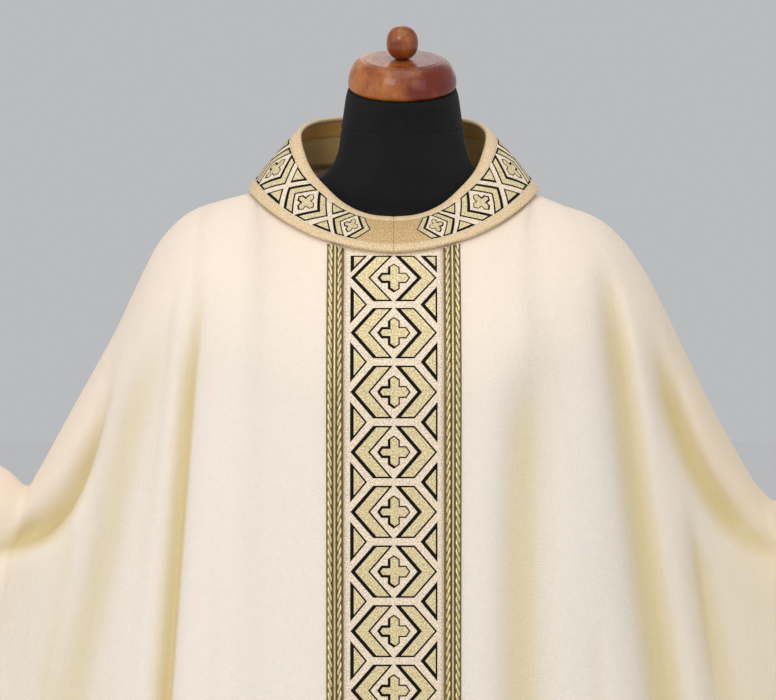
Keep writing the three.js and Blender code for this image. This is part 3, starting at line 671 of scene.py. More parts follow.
def foldShape(folds, x, z):
    # how deep each place lies in the folds, and how far sideways it laps over one
    depth, lap = np.zeros_like(x), np.zeros_like(x)
    steps = 16
    for k in range(len(folds["x0"])):
        f = {name: values[k] for name, values in folds.items()}
        t = np.linspace(0, 1, steps + 1)
        lineX = (1 - t)**2 * f["x0"] + 2 * t * (1 - t) * f["x1"] + t**2 * f["x2"]
        lineZ = (1 - t)**2 * f["z0"] + 2 * t * (1 - t) * f["z1"] + t**2 * f["z2"]
        best, where, inner = np.full_like(x, 1e9), np.zeros_like(x), np.zeros(x.shape, bool)
        for n in range(steps):
            dx, dz = lineX[n + 1] - lineX[n], lineZ[n + 1] - lineZ[n]
            share = np.clip(((x - lineX[n]) * dx + (z - lineZ[n]) * dz) / (dx * dx + dz * dz), 0, 1)
            px, pz = x - lineX[n] - share * dx, z - lineZ[n] - share * dz
            far = np.hypot(px, pz)
            nearer = far < best
            best = np.where(nearer, far, best)
            where = np.where(nearer, (n + share) / steps, where)
            turned = dx * pz - dz * px
            inner = np.where(nearer, (turned >= 0) if f["x0"] < 0 else (turned < 0), inner)
        width = np.where(inner, f["in0"] + (f["in1"] - f["in0"]) * where,
                         f["out0"] + (f["out1"] - f["out0"]) * where)
        end = smooth((1 - where) / 0.4) if f["fades"] else 0.75 + 0.25 * where
        grown = smooth(where / f["starts"]) * end
        depth += f["depth"] * grown * np.exp(-(best / width) ** f["edge"])
        if f["lap"]:
            beside = np.where(inner, best, 0) / panel["lapReach"]
            lap += np.sign(f["x0"]) * f["lap"] * grown * beside * np.exp(1 - beside) * inner
    return depth, lap


def neckEdge(side, angle):
    sideways = np.sin(np.radians(angle))**2
    under = panel["tuckUnder"] + (panel["tuckUnderAtSide"] - panel["tuckUnder"]) * sideways
    return collarPoint(side * angle, panel["tuckDown"], -(collar["wall"] + under))


def panelPoint(name, column, row):
    # a panel's outer face. column runs from -1 to 1 across it and row from 0 at the seam to 1 at the hem
    front = name == "front"
    neck, seam = (frontNeck if front else backNeck), shoulderSeam
    column, row = np.broadcast_arrays(np.asarray(column, float), np.asarray(row, float))
    side = np.where(column < 0, -1.0, 1.0)
    out = np.abs(column)
    share, arc = panel["neckShare"], panel["arcShare"]
    outer = out > share
    r = np.clip(out / share, 0, 1) * (len(neck["angle"]) - 1)
    q = np.clip((out - share) / (1 - share), 0, 1) * len(seam["out"])
    value = {key: along(neck[key], r) for key in neck}
    top = neckEdge(side, value["angle"])
    shoulder = neckEdge(np.array(1.0), np.array(90.0))

    def outward(inside, first, rest):
        # a value round the neck, and from there along the shoulder seam
        return np.where(outer, along(np.concatenate([[first], rest]), q), inside)
    topX = side * outward(side * top[..., 0], shoulder[0], seam["out"])
    topY = outward(top[..., 1], shoulder[1], seam["seamY"])
    topY = topY - np.where(out > share - 1e-6, panel["seamHalf"] * (1.0 if front else -1.0), 0)
    topZ = np.where(side < 0, outward(top[..., 2], shoulder[2], seam["leftZ"]),
                    outward(top[..., 2], shoulder[2], seam["rightZ"]))
    beyond = {"hangY": seam["frontY" if front else "backY"], "drop": seam["drop"], "hemX": seam["hemX"],
              "hemZ": seam["hemZ"] - (0 if front else panel["backLower"])}
    hangY, drop, hemX, hemZ = (outward(value[key], neck[key][-1], rest) for key, rest in beyond.items())
    lastPower = neck["power"][-1]
    power = np.where(outer, lastPower + (panel["seamPower"] - lastPower) * np.clip(q, 0, 1), value["power"])
    fall = topZ - hemZ
    down = np.where(row < arc, drop * (1 - np.cos(np.clip(row / arc, 0, 1) * math.pi / 2)),
                    drop + (fall - drop) * (row - arc) / (1 - arc))
    reach = (1 - (1 - np.clip(down / drop, 0, 1))**2)**power
    x = topX + (side * hemX - topX) * down / fall
    y = topY + (hangY - topY) * reach
    z = topZ - down
    grown = smooth(down / panel["clearOfSeam"])
    depth, lap = foldShape(frontFolds if front else backFolds, x, z)
    depth = depth + foldShape(frontCreases if front else backCreases, x, z)[0]
    inwards = grown * depth * (1.0 if front else -1.0)
    return np.stack([x + lap * grown, y + inwards, z], -1), depth * grown, down


def pathLengths(points, axis):
    steps = np.linalg.norm(np.diff(points, axis=axis), axis=-1)
    start = np.zeros_like(np.take(steps, [0], axis))
    return np.concatenate([start, np.cumsum(steps, axis)], axis)


def panelColumns():
    where, spread, extra = panel["closeColumns"]
    fine = np.linspace(-1, 1, 4001)
    weight = 1 + extra * np.exp(-((np.abs(fine) - where) / spread)**2)
    run = np.concatenate([[0], np.cumsum((weight[1:] + weight[:-1]) / 2)])
    return np.interp(np.linspace(0, run[-1], panel["columns"]), run, fine)


def withoutKink(columns, points, down):
    # the cloth runs on smoothly past the corner where the collar meets the shoulder seam
    near = np.exp(-((np.abs(columns) - panel["neckShare"]) / panel["kinkSpread"])**2)[:, None, None]
    share = 0.9 * near * smooth(down / panel["kinkDown"])[..., None]
    for _ in range(panel["kinkRounds"]):
        even = (np.roll(points, 1, 0) + np.roll(points, -1, 0)) / 2
        points = points + share * (even - points)
    return points


def turnedIn(grid, normals, count, axis, ends):
    # a narrow hem: the edge goes round and back up inside, along the cloth
    grid, normals = np.moveaxis(grid, axis, 0), np.moveaxis(normals, axis, 0)
    for atEnd in ends:
        step = 1 if atEnd else -1
        grid, normals = grid[::step], normals[::step]
        outward = grid[-1] - grid[-2]
        outward = outward / np.linalg.norm(outward[..., :3], axis=-1, keepdims=True) * panel["cloth"] / 2
        lip = grid[-1] + outward - normals[-1] * panel["cloth"] / 2
        inner = normals[::-1][:count + 1]
        inside = grid[::-1][:count + 1] - inner * panel["cloth"]
        grid = np.concatenate([grid, lip[None], inside])[::step]
        normals = np.concatenate([normals, normals[-1:], inner])[::step]
    return np.moveaxis(grid, 0, axis), np.moveaxis(normals, 0, axis)


def addPanel(name):
    front = name == "front"
    columns = panelColumns()
    arc, arcRows = panel["arcShare"], panel["arcRows"]
    rows = np.concatenate([np.linspace(0, arc, arcRows + 1), np.linspace(arc, 1, panel["hangRows"] + 1)[1:]])
    points, depth, down = panelPoint(name, columns[:, None], rows[None, :])
    points = withoutKink(columns, points, down)
    lengths = pathLengths(points, 1)
    across = pathLengths(points[:, len(rows) // 2:len(rows) // 2 + 1], 0)
    across = np.broadcast_to(across - across[len(columns) // 2], lengths.shape)
    edge = np.minimum(lengths[:, -1:] - lengths, np.minimum(across - across[0], across[-1] - across))
    stitch = np.exp(-((edge - panel["hemWidth"]) / wool["stitchWidth"])**2)
    x = points[..., 0]
    # painted shade on the wings, stronger on the right side, away from the light
    wingShading = np.where(x < 0, *wool["wingShadeShare"]) * smooth((np.abs(x) - wool["wingFrom"]) / wool["wingOver"])
    # painted shade in the fold hollows, the deeper the darker, or the wings' painted shade where that is more
    hollow = np.maximum(smooth(depth / wool["fullFoldShade"]) * wool["hollowTint"][0 if front else 1], wingShading)
    # painted light on the shoulders, fading downwards
    upper = 1 - smooth(down / wool["litShoulderOver"])
    normals = unit(np.cross(np.gradient(points, axis=1), np.gradient(points, axis=0))) * (1 if front else -1)
    # what each point carries: place on the cloth, then its marks
    carried = np.stack([across, -lengths, hollow, upper, stitch], -1)
    whole = np.concatenate([points, carried], -1)
    wide = np.concatenate([normals, np.zeros_like(carried)], -1)
    whole, wide = turnedIn(whole, wide, panel["hemRows"], 1, (True,))
    whole, wide = turnedIn(whole, wide, panel["hemColumns"], 0, (False, True))
    marks = {"hollow": whole[..., 5], "upper": whole[..., 6], "stitch": whole[..., 7]}
    faces = gridFaces(*whole.shape[:2], flip=not front)
    piece = makePiece(f"{name}_cloth", whole[..., :3] + (0, seatY, 0), faces,
                      ["wool"], whole[..., 3:5], marks)
    return finish(piece, "wool", f"{name}_panel")


# ---- the band's surface, on the front panel

orphrey = {
    "width": 109.0, "braid": 18.5, "gap": 0.3,
    "start": 5.0,  # distances down the front from the neckline
    "hemClearance": 4.0,
    "bandRise": 1.4,  # top of the woven band over the wool
    "thickness": 1.1, "edgeDrop": 0.5,
    "outlines": (-0.3, 0.16), "fills": (-0.1, 0.34),  # bottom and top of the pattern, over the band's top
    "stripRows": 216,
    "fromShare": 0.13,  # its surface is taken from this share of the panel, to both sides of the middle
    "reach": 76.0, "stepAcross": 4.0, "stepDown": 3.0,  # and laid out again in even steps
}


def bandSurface():
    # points and normals at even steps across (x) and down (s) the middle of the front
    columns, rows = np.linspace(-orphrey["fromShare"], orphrey["fromShare"], 53), np.linspace(0, 1, 700)
    points = panelPoint("front", columns[:, None], rows[None, :])[0]
    xs = np.arange(-orphrey["reach"], orphrey["reach"] + 1, orphrey["stepAcross"])
    fixed = np.empty((len(xs), len(rows), 3))
    for j in range(len(rows)):
        fixed[:, j, 0] = xs
        for k in (1, 2):
            fixed[:, j, k] = np.interp(xs, points[:, j, 0], points[:, j, k])
    run = pathLengths(fixed[len(xs) // 2], 0)
    ss = np.arange(0, run[-1], orphrey["stepDown"])
    even = np.stack([np.stack([np.interp(ss, run, fixed[i, :, k]) for k in range(3)], -1)
                     for i in range(len(xs))])
    normals = unit(np.cross(np.gradient(even, axis=1), np.gradient(even, axis=0)))
    return xs, ss, even, normals


bandXs, bandSs, bandPoints, bandNormals = bandSurface()
bandLength = bandSs[-1] - orphrey["hemClearance"]


def levelled():
    # the same surface, with every line across it at one height
    heights = bandPoints[len(bandXs) // 2, :, 2]
    places, normals = np.empty_like(bandPoints), np.empty_like(bandNormals)
    for i in range(len(bandXs)):
        row = np.interp(-heights, -bandPoints[i, :, 2], np.arange(len(bandSs)))
        for k in range(3):
            places[i, :, k] = np.interp(row, np.arange(len(bandSs)), bandPoints[i, :, k])
            normals[i, :, k] = np.interp(row, np.arange(len(bandSs)), bandNormals[i, :, k])
    return places, normals


levelPoints, levelNormals = levelled()


def onBand(x, s, lift, points=bandPoints, normals=bandNormals):
    x, s, lift = np.broadcast_arrays(*(np.asarray(v, float) for v in (x, s, lift)))
    a = np.clip((x - bandXs[0]) / (bandXs[1] - bandXs[0]), 0, len(bandXs) - 1.001)
    b = np.clip((s - bandSs[0]) / (bandSs[1] - bandSs[0]), 0, len(bandSs) - 1.001)
    i, j = a.astype(int), b.astype(int)
    u, v = (a - i)[..., None], (b - j)[..., None]

    def sample(grid):
        return ((1 - u) * (1 - v) * grid[i, j] + u * (1 - v) * grid[i + 1, j]
                + (1 - u) * v * grid[i, j + 1] + u * v * grid[i + 1, j + 1])
    return sample(points) + unit(sample(normals)) * lift[..., None] + (0, seatY, 0)


def onLevelBand(x, s, lift):
    return onBand(x, s, lift, levelPoints, levelNormals)


# ---- the woven pattern: hexagons of two chevrons round a quatrefoil, and triangles between

motif = {
    "tip": 47.0, "flat": 22.4, "half": 28.5,  # the hexagon's half width, half flat and half height
    "innerTip": 25.6, "innerFlat": 1.2,
    "cross": 18.1, "arm": 6.5, "armEnd": 13.5,
    "triangleEdge": 47.3, "triangleTip": 29.0, "triangleHalf": 22.2,
    "pitch": 65.0,
    "firstTop": 6.6,  # from the neckline to the first hexagon
    "thick": 3.9, "thin": 1.85,
    "hemGap": 10.0,  # the pattern ends at least this far over the hem
    "cut": 7.0,  # the largest facet
}


def signedArea(points):
    return sum(a[0] * b[1] - b[0] * a[1] for a, b in zip(points, [*points[1:], points[0]])) / 2


def insetPolygon(points, insets):
    # every edge moves in by its own amount
    points = [np.array(p, float) for p in points]
    n = len(points)
    turn = 1.0 if signedArea(points) > 0 else -1.0
    lines = []
    for k in range(n):
        d = points[(k + 1) % n] - points[k]
        d = d / np.linalg.norm(d)
        lines.append((points[k] + turn * insets[k] * np.array([-d[1], d[0]]), d))
    made = []
    for k in range(n):
        (p, d), (q, e) = lines[k - 1], lines[k]
        along1 = np.linalg.solve(np.stack([d, -e], 1), q - p)[0]
        made.append(p + along1 * d)
    return made


def flatMesh(polygons, cut):
    # polygons as small facets, so that they can follow a curved surface
    offCorner = 0.013  # keeps every cut clear of the corners
    bm = bmesh.new()
    for points in polygons:
        facingUp = points if signedArea(points) > 0 else points[::-1]
        bm.faces.new([bm.verts.new((x, y, 0)) for x, y in facingUp])
    bm.normal_update()
    bmesh.ops.triangulate(bm, faces=bm.faces[:], quad_method="BEAUTY", ngon_method="EAR_CLIP")
    corner = np.array([v.co[:2] for v in bm.verts])
    for axis in (0, 1):
        low, high = corner[:, axis].min(), corner[:, axis].max()
        for k in range(1, int(np.ceil((high - low) / cut))):
            place = [0, 0, 0]
            place[axis] = low + k * cut + offCorner
            normal = [0, 0, 0]
            normal[axis] = 1
            geometry = bm.verts[:] + bm.edges[:] + bm.faces[:]
            bmesh.ops.bisect_plane(bm, geom=geometry, dist=1e-5, plane_co=place, plane_no=normal)
    bm.verts.index_update()
    verts = np.array([v.co[:2] for v in bm.verts])
    faces = [[v.index for v in f.verts] for f in bm.faces]
    bm.free()
    return verts, faces


def joined(parts):
    # several flat meshes as one
    verts, faces, start = [], [], 0
    for v, f in parts:
        verts.append(v)
        faces += [[k + start for k in face] for face in f]
        start += len(v)
    return np.concatenate(verts), faces


def slab(name, flat, place, low, high, material):
    # flat facets laid on a surface, from one height over it to another, with side walls
    verts, faces = flat
    n = len(verts)
    once = {}
    for face in faces:
        for a, b in zip(face, face[1:] + face[:1]):
            once[(a, b)] = (b, a) not in once
            if not once[(a, b)]:
                once[(b, a)] = False
    walls = [[a, b, b + n, a + n] for (a, b), alone in once.items() if alone]
    points = np.concatenate([place(verts[:, 0], verts[:, 1], height) for height in (high, low)])
    solid = [f[::-1] for f in faces] + [[k + n for k in f] for f in faces] + walls
    if signedArea([verts[k] for k in faces[0]]) < 0:
        solid = [f[::-1] for f in solid]
    piece = makePiece(name, points, solid, [material], np.concatenate([verts, verts]))
    for polygon in piece.data.polygons:
        polygon.use_smooth = False
    return piece


def mirrorX(points):
    return [(-x, y) for x, y in points]


def hexagonShapes(bold=1.0):
    m = motif
    leftOuter = [(-m["innerFlat"], -m["half"]), (-m["flat"], -m["half"]), (-m["tip"], 0),
                 (-m["flat"], m["half"]), (-m["innerFlat"], m["half"]), (-m["innerTip"], 0)]
    thick, thin = m["thick"] * bold, m["thin"] * bold
    leftFill = insetPolygon(leftOuter, [thin, thick, thick, thin, thin, thin])
    rightFill = insetPolygon(mirrorX(leftOuter), [thin, thin, thin, thin, thick, thick])
    a, e, c = m["arm"], m["armEnd"], m["cross"]
    crossOuter, quarter = [], [(0, -c), (a, -e), (a, -a), (e, -a)]
    for _ in range(4):
        crossOuter += quarter
        quarter = [(-y, x) for x, y in quarter]
    edges = []
    for (x0, y0), (x1, y1) in zip(crossOuter, [*crossOuter[1:], crossOuter[0]]):
        # the left side has the thick outline, but for its top edge
        shaded = x0 + x1 < 0 and not (x0 + x1 > -14 and y0 + y1 < -24)
        edges.append(0.75 * m["thick"] if shaded else 0.8 * m["thin"])
    crossFill = insetPolygon(crossOuter, edges)
    return [leftOuter, mirrorX(leftOuter), crossOuter], [leftFill, rightFill, crossFill]


def triangleShapes(rise):
    # both side triangles, or their lower halves where rise is 0
    m = motif
    left = [(-m["triangleEdge"], -rise), (-m["triangleEdge"], m["triangleHalf"]), (-m["triangleTip"], 0)]
    fills = [insetPolygon(left, [m["thick"], m["thin"], m["thin"]]),
             insetPolygon(mirrorX(left), [m["thin"], m["thick"], m["thick"] if rise else m["thin"]])]
    return [left, mirrorX(left)], fills


def bandPattern():
    # outlines and fills down the whole band, in (across, down)
    m = motif
    made = []
    for kind in (0, 1):
        hexagons, triangles, corners = (flatMesh(shapes[kind], m["cut"]) for shapes in (
            hexagonShapes(), triangleShapes(m["triangleHalf"]), triangleShapes(0)))
        parts = [(corners[0] + (0, m["firstTop"]), corners[1])]
        centre = m["firstTop"] + m["half"]
        while centre + m["pitch"] / 2 < bandLength - m["hemGap"]:
            parts.append((hexagons[0] + (0, centre), hexagons[1]))
            if centre + m["pitch"] < bandLength - m["hemGap"]:
                parts.append((triangles[0] + (0, centre + m["pitch"] / 2), triangles[1]))
            centre += m["pitch"]
        made.append(joined(parts))
    return made


def bandStrip(name, xs, rise, edgeDrop, thickness, material, flip=False):
    # a woven strip down the front, with its long edges a little lower
    ss = np.linspace(orphrey["start"], bandLength, orphrey["stripRows"])
    lift = np.full((len(xs), len(ss)), rise)
    lift[[0, -1]] -= edgeDrop
    uvs = np.stack(np.broadcast_arrays(xs[:, None], -ss[None, :]), -1)
    strip = makePiece(name, onBand(xs[:, None], ss[None, :], lift), gridFaces(len(xs), len(ss), flip=flip),
                      [material], uvs)
    return thicken(strip, thickness)


def addOrphrey():
    half, top = orphrey["width"] / 2, orphrey["bandRise"]
    ground = bandStrip("orphrey_ground", np.linspace(-half, half, 23), top, orphrey["edgeDrop"],
                       orphrey["thickness"], "ground")
    finish(ground, "patterned_band", "orphrey_band")
    outlines, fills = bandPattern()
    (lowBlack, highBlack), (lowGold, highGold) = orphrey["outlines"], orphrey["fills"]
    black = slab("orphrey_outlines", outlines, onLevelBand, top + lowBlack, top + highBlack, "outline")
    gold = slab("orphrey_fills", fills, onLevelBand, top + lowGold, top + highGold, "fill")
    for piece in (black, gold):
        finish(piece, "patterned_band")


# ---- braids

braid = {
    "tapeRise": 1.0, "tapeThickness": 0.7, "edgeDrop": 0.4,
    "edgeRopes": (4.0, 14.2),  # centres across the braid, from its outer edge
    "cord": 9.1, "cordRadius": 1.5, "cordLift": 1.0,
    "strandRadius": 1.35, "twistRadius": 1.35, "pitch": 20.8,
    "strandLift": 0.9,  # of the strand's radius
    "shift": 1.1,  # how far one rope's turns run ahead of the other's, in radians
    "crestFrom": 0.95, "crestOver": 1.5,  # heights over the tape at which the painted shade low on the threads gives way to their own colour
    "step": 1.6, "sides": 8,
}


def tubeAlong(x, lift, radius, twistRadius=0.0, phase=0.0, hand=1.0):
    # a thread down the front at x, that may wind round its own line
    ss = np.arange(orphrey["start"] + 1, bandLength - 0.5, braid["step"])
    turn = 2 * math.pi * ss / braid["pitch"] * hand + phase
    height = lift + twistRadius * np.sin(turn)
    centre = onBand(x + twistRadius * np.cos(turn), ss, height)
    forward = unit(np.gradient(centre, axis=0))
    outward = unit(onBand(np.full_like(ss, x), ss, 5.0) - onBand(np.full_like(ss, x), ss, 0.0))
    sideways = unit(np.cross(forward, outward))
    outward = unit(np.cross(sideways, forward))
    around = np.linspace(0, 2 * math.pi, braid["sides"] + 1)[:-1]
    ring = (centre[:, None] + sideways[:, None] * (radius * np.cos(around))[None, :, None]
            + outward[:, None] * (radius * np.sin(around))[None, :, None])
    # painted shade: how far each point is out of it, from low on the thread, near the tape, to its top
    rise = height[:, None] + radius * np.sin(around)[None, :] - braid["tapeRise"]
    litCrest = smooth((rise - braid["crestFrom"]) / braid["crestOver"])
    uvs = np.stack(np.broadcast_arrays(radius * around[None, :], ss[:, None]), -1)
    return ring, litCrest, uvs


def addTubes(name, material, tubes):
    rings, litCrests, uvs = (np.concatenate(parts) for parts in zip(*tubes))
    steps, sides = len(tubes[0][0]), braid["sides"]
    faces = np.concatenate([gridFaces(steps, sides, loopRows=True) + k * steps * sides
                            for k in range(len(tubes))])
    return finish(makePiece(name, rings, faces, [material], uvs, {"litCrest": litCrests}), "gold_braid")


def addBraid(name, side):
    inner = orphrey["width"] / 2 + orphrey["gap"]
    outer = inner + orphrey["braid"]
    tape = bandStrip(f"{name}_tape", side * np.linspace(inner, outer, 9), braid["tapeRise"],
                     braid["edgeDrop"], braid["tapeThickness"], "braidTape", flip=side < 0)
    finish(tape, "gold_braid", name)
    cordLift = braid["tapeRise"] + braid["cordLift"]
    cord = tubeAlong(side * (outer - braid["cord"]), cordLift, braid["cordRadius"])
    lift = braid["tapeRise"] + braid["strandRadius"] * braid["strandLift"]
    strands = [tubeAlong(side * (outer - place), lift, braid["strandRadius"], braid["twistRadius"],
                         math.pi * strand + braid["shift"] * k, hand=1 if k else -1)
               for k, place in enumerate(braid["edgeRopes"]) for strand in (0, 1)]
    pieces = [addTubes(f"{name}_cord", "braidCord", [cord]), addTubes(f"{name}_ropes", "braid", strands)]


# ---- the collar's pieces

collarTape = {
    "columns": 150,
    "seamHalf": 0.04, "seamDip": 0.3, "seamSpread": 0.9,  # half gap in millimetres, depth, and degrees
    "endRise": 1.52, "endPast": 0.3, "endFade": 0.5,  # between the front seam and the band
}
collarHexagons = ((10.6, 29.5), (32.0, 58.5), (61.5, 90.0), (93.0, 119.0), (122.0, 148.0), (151.0, 177.0))
# The collar's section, as shares down its width and heights over its face: bottom edge, lower tape,
# the bed of the patterned band, upper tape, rim, and the inside.
collarSection = (
    (0.990, -2.9), (1.002, -2.2), (1.005, 0.4), (1.002, 1.2), (0.994, 1.6), (0.97, 1.7), (0.905, 1.8),
    (0.862, 1.8), (0.847, 1.6), (0.840, 1.1), (0.838, 0.1), (0.66, 0.0), (0.5, 0.0), (0.34, 0.0),
    (0.162, 0.1), (0.160, 1.1), (0.153, 1.7), (0.138, 2.0), (0.095, 2.1), (0.045, 2.0), (0.012, 1.5),
    (-0.006, 0.4), (-0.012, -1.1), (-0.008, -2.6), (0.006, -3.9), (0.03, -4.4), (0.055, -4.3),
    (0.07, -3.1), (0.5, -3.0))
bedFrom, bedTo = 9, 14  # rows of the section that show the plain cloth
# the lining's section, with the ridge of a seam a third of the way down
liningSection = (
    (0.02, -4.1), (0.05, -4.3), (0.1, -4.3), (0.2, -4.3), (0.28, -4.4), (0.315, -4.5), (0.33, -4.0),
    (0.345, -4.1), (0.38, -4.2), (0.5, -4.3), (0.62, -4.3), (0.74, -4.3), (0.84, -4.3))
liningSeam = 0.325
# the patterned band in its bed. Heights are over the collar's face, as bottom and top
collarBand = {
    "ground": 1.4, "groundThickness": 1.1, "liningThickness": 0.9,
    "outlines": (1.2, 1.56), "fills": (1.3, 1.74), "front_end": (1.2, 1.55),
    "bold": 1.3,  # the motifs are smaller here, and their outlines are not
    "apex": 6.5,  # from a crossing's middle to its triangles
    "beforeSeam": 179.9,  # degrees, for the half triangles beside the back seam
    "under": 0.005, "inset": 0.008,  # shares by which the ground is wider, and the pattern narrower
}


def seamAngle():
    return math.degrees(collarTape["seamHalf"] / collar["rimHalfDepth"])


def collarAngles():
    front = [seamAngle(), 0.5, 1.2, 3.0, 5.0, 6.5, 7.3]
    return np.concatenate([front, np.linspace(7.8, 178.0, collarTape["columns"]), [179.2, 180 - seamAngle()]])


def addCollarHalf(name, side):
    angles = collarAngles()
    shares, lifts = np.array(collarSection).T
    n, m = len(angles), len(shares)
    lift = np.broadcast_to(lifts, (n, m)).copy()
    dips = np.minimum(np.abs(angles), np.abs(180 - angles))
    lift -= (lifts > 0) * collarTape["seamDip"] * np.exp(-(dips[:, None] / collarTape["seamSpread"])**2)
    between = (shares > 0.13) & (shares < 0.87) & (lifts > -1)
    raised = np.clip((collar["bandStart"] + collarTape["endPast"] - angles) / collarTape["endFade"], 0, 1)
    lift[:, between] = np.maximum(lift[:, between], collarTape["endRise"] * raised[:, None])
    points = collarPoint(side * angles[:, None], shares[None, :], lift) + (0, seatY, 0)
    faces = gridFaces(n, m, loopRows=True, flip=side > 0)
    section = np.tile(np.arange(m), n - 1)
    middle = (section >= bedFrom) & (section <= bedTo)
    caps = [list(range(m))[::side], list(range((n - 1) * m, n * m))[::-side]]
    piece = makePiece(f"collar_{name}_cloth", points, [*faces.tolist(), *caps], ["tape", "piece"],
                      np.stack([pathLengths(points, 0), pathLengths(points, 1)], -1),
                      faceMaterials=[*middle, 0, 0])
    for end in piece.data.polygons[-2:]:  # the ends stay sharp, so that the seam is a thin line
        end.use_smooth = False
    return finish(piece, "gold_cloth", f"collar_{name}")


def collarSheet(name, angles, shares, lifts, thickness, material, flip, marks=None):
    points = collarPoint(angles[:, None], shares[None, :], lifts) + (0, seatY, 0)
    lengths = pathLengths(points, 0)
    across = np.broadcast_to(shares * collar["width"], lengths.shape)
    sheet = makePiece(name, points, gridFaces(len(angles), len(shares), flip=flip), [material],
                      np.stack([lengths, across], -1), marks)
    return thicken(sheet, thickness)


def addCollarLining(name, side):
    angles = collarAngles()
    shares, lifts = np.array(liningSection).T
    piece = collarSheet(f"collar_lining_{name}_cloth", side * angles, shares, lifts,
                        collarBand["liningThickness"], "lining", side > 0,
                        {"below": np.tile(shares > liningSeam, len(angles))})
    return finish(piece, "collar_lining", f"collar_lining_{name}")


def collarPairs():
    # the triangles over and under a crossing between two hexagons, and their halves beside the back seam
    m = motif
    apex, bold = collarBand["apex"], collarBand["bold"]
    wide = (m["tip"] - m["flat"]) / m["half"] * (m["half"] - apex)
    thick, thin = m["thick"] * bold * 0.8, m["thin"] * bold
    upper = [(-wide, -m["half"]), (0, -apex), (wide, -m["half"])]
    half = [(0, -m["half"]), (0, -apex), (wide, -m["half"])]
    made = []
    for shape, insets in ((upper, ([thin, thick, thin], [thin, thin, thick])),
                          (half, ([0.01, thin, thin], [0.01, thick, thin]))):
        both = [shape, [(x, -y) for x, y in shape]]
        made += [both, [insetPolygon(points, inset) for points, inset in zip(both, insets)]]
    return made


def addCollarBand(name, side):
    m = motif
    low, high = collar["bandFrom"], collar["bandTo"]
    angles = np.linspace(collar["bandStart"] - 0.5, 180 - seamAngle(), 150)
    shares = np.linspace(low - collarBand["under"], high + collarBand["under"], 13)
    ground = collarSheet(f"collar_band_{name}_ground", side * angles, shares, collarBand["ground"],
                         collarBand["groundThickness"], "ground", side < 0)
    finish(ground, "patterned_band", f"collar_band_{name}")
    middle, reach = (low + high) / 2, (high - low) / 2 - collarBand["inset"]
    degree, width = collar["degreeWidth"], collar["width"]

    def laid(shapes, centre, half):
        # shapes given in (towards the front, down) around a place on the collar
        verts, faces = flatMesh(shapes, m["cut"])
        angle = centre - verts[:, 0] / m["tip"] * half
        share = middle + verts[:, 1] / m["half"] * reach
        return np.stack([side * angle * degree, share * width], -1), faces

    def onCollar(u, v, lift):
        return collarPoint(u / degree, v / width, lift) + (0, seatY, 0)
    hexagons = hexagonShapes(collarBand["bold"])
    pair, pairFill, seamPair, seamFill = collarPairs()
    middles = [((start + end) / 2, (end - start) / 2) for start, end in collarHexagons]
    places = []  # a pair of outlines and fills, and where it lies
    for k, (centre, half) in enumerate(middles):
        places.append((hexagons, centre, half))
        if k + 1 < len(middles):
            crossing = (collarHexagons[k][1] + collarHexagons[k + 1][0]) / 2
            places.append(((pair, pairFill), crossing, (half + middles[k + 1][1]) / 2))
    places.append(((seamPair, seamFill), collarBand["beforeSeam"], middles[-1][1]))
    outlines, fills = (joined([laid(shapes[kind], *place) for shapes, *place in places]) for kind in (0, 1))
    centre, half = middles[0]
    toFront = (centre - collar["bandStart"]) / half * m["tip"] + 2.6
    top = m["half"] + 1
    plain = [(toFront, -top), (m["flat"], -top), (m["tip"], 0), (m["flat"], top), (toFront, top)]
    onTop = [finish(slab(f"collar_{name}_{label}", flat, onCollar, *collarBand[label], material), slot)
             for label, flat, material, slot in (
                 ("outlines", outlines, "outline", "patterned_band"),
                 ("fills", fills, "fill", "patterned_band"),
                 ("front_end", laid([plain], centre, half), "piece", "gold_cloth"))]
    return ground, onTop


def addCollar():
    for name, side in (("left", -1), ("right", 1)):
        cloth = addCollarHalf(name, side)
        lining = addCollarLining(name, side)
        ground, onTop = addCollarBand(name, side)


# ---- dress form and stand

formRows = table(
    "z half front back lean",
    (1575.7, 62, 60, 60, 17), (1567, 64.5, 61, 61, 15), (1550, 67, 60, 62, 11), (1530, 70, 59, 63, 6),
    (1507, 73, 59, 65, 2), (1488, 81, 60, 68, 0), (1470, 98, 60, 74, 0), (1452, 126, 61, 80, 0),
    (1436, 160, 62, 86, 0), (1426, 180, 70, 89, 0), (1416, 193, 82, 92, 0), (1400, 203, 104, 95, 0),
    (1375, 207, 124, 98, 0), (1340, 205, 133, 99, 0), (1290, 194, 138, 99, 0), (1200, 172, 134, 93, 0),
    (1070, 156, 118, 84, 0), (950, 168, 120, 94, 0), (860, 176, 118, 100, 0), (800, 172, 112, 96, 0))
form = {"neckY": -4.0, "sides": 112, "seamRow": 3.0, "seamDepth": 0.9}
capShape = {"radius": 62, "topRadius": 44.5, "height": 35.5, "widest": 7, "foot": 57}
# turned outlines, as radius and height
knobProfile = (
    (0, 0), (8, 0.6), (14, 5), (17.4, 12), (18, 20), (16.6, 27.4), (12.5, 33.6), (6.5, 37), (0, 38))
baseProfile = ((0, 0), (210, 0), (215, 8), (213, 20), (196, 30), (70, 38), (34, 45), (0, 45))
hipPlate = {"radiusX": 160, "radiusY": 94, "height": 16, "edge": 9}
pole = {"radius": 16, "top": 783, "bottom": 46}


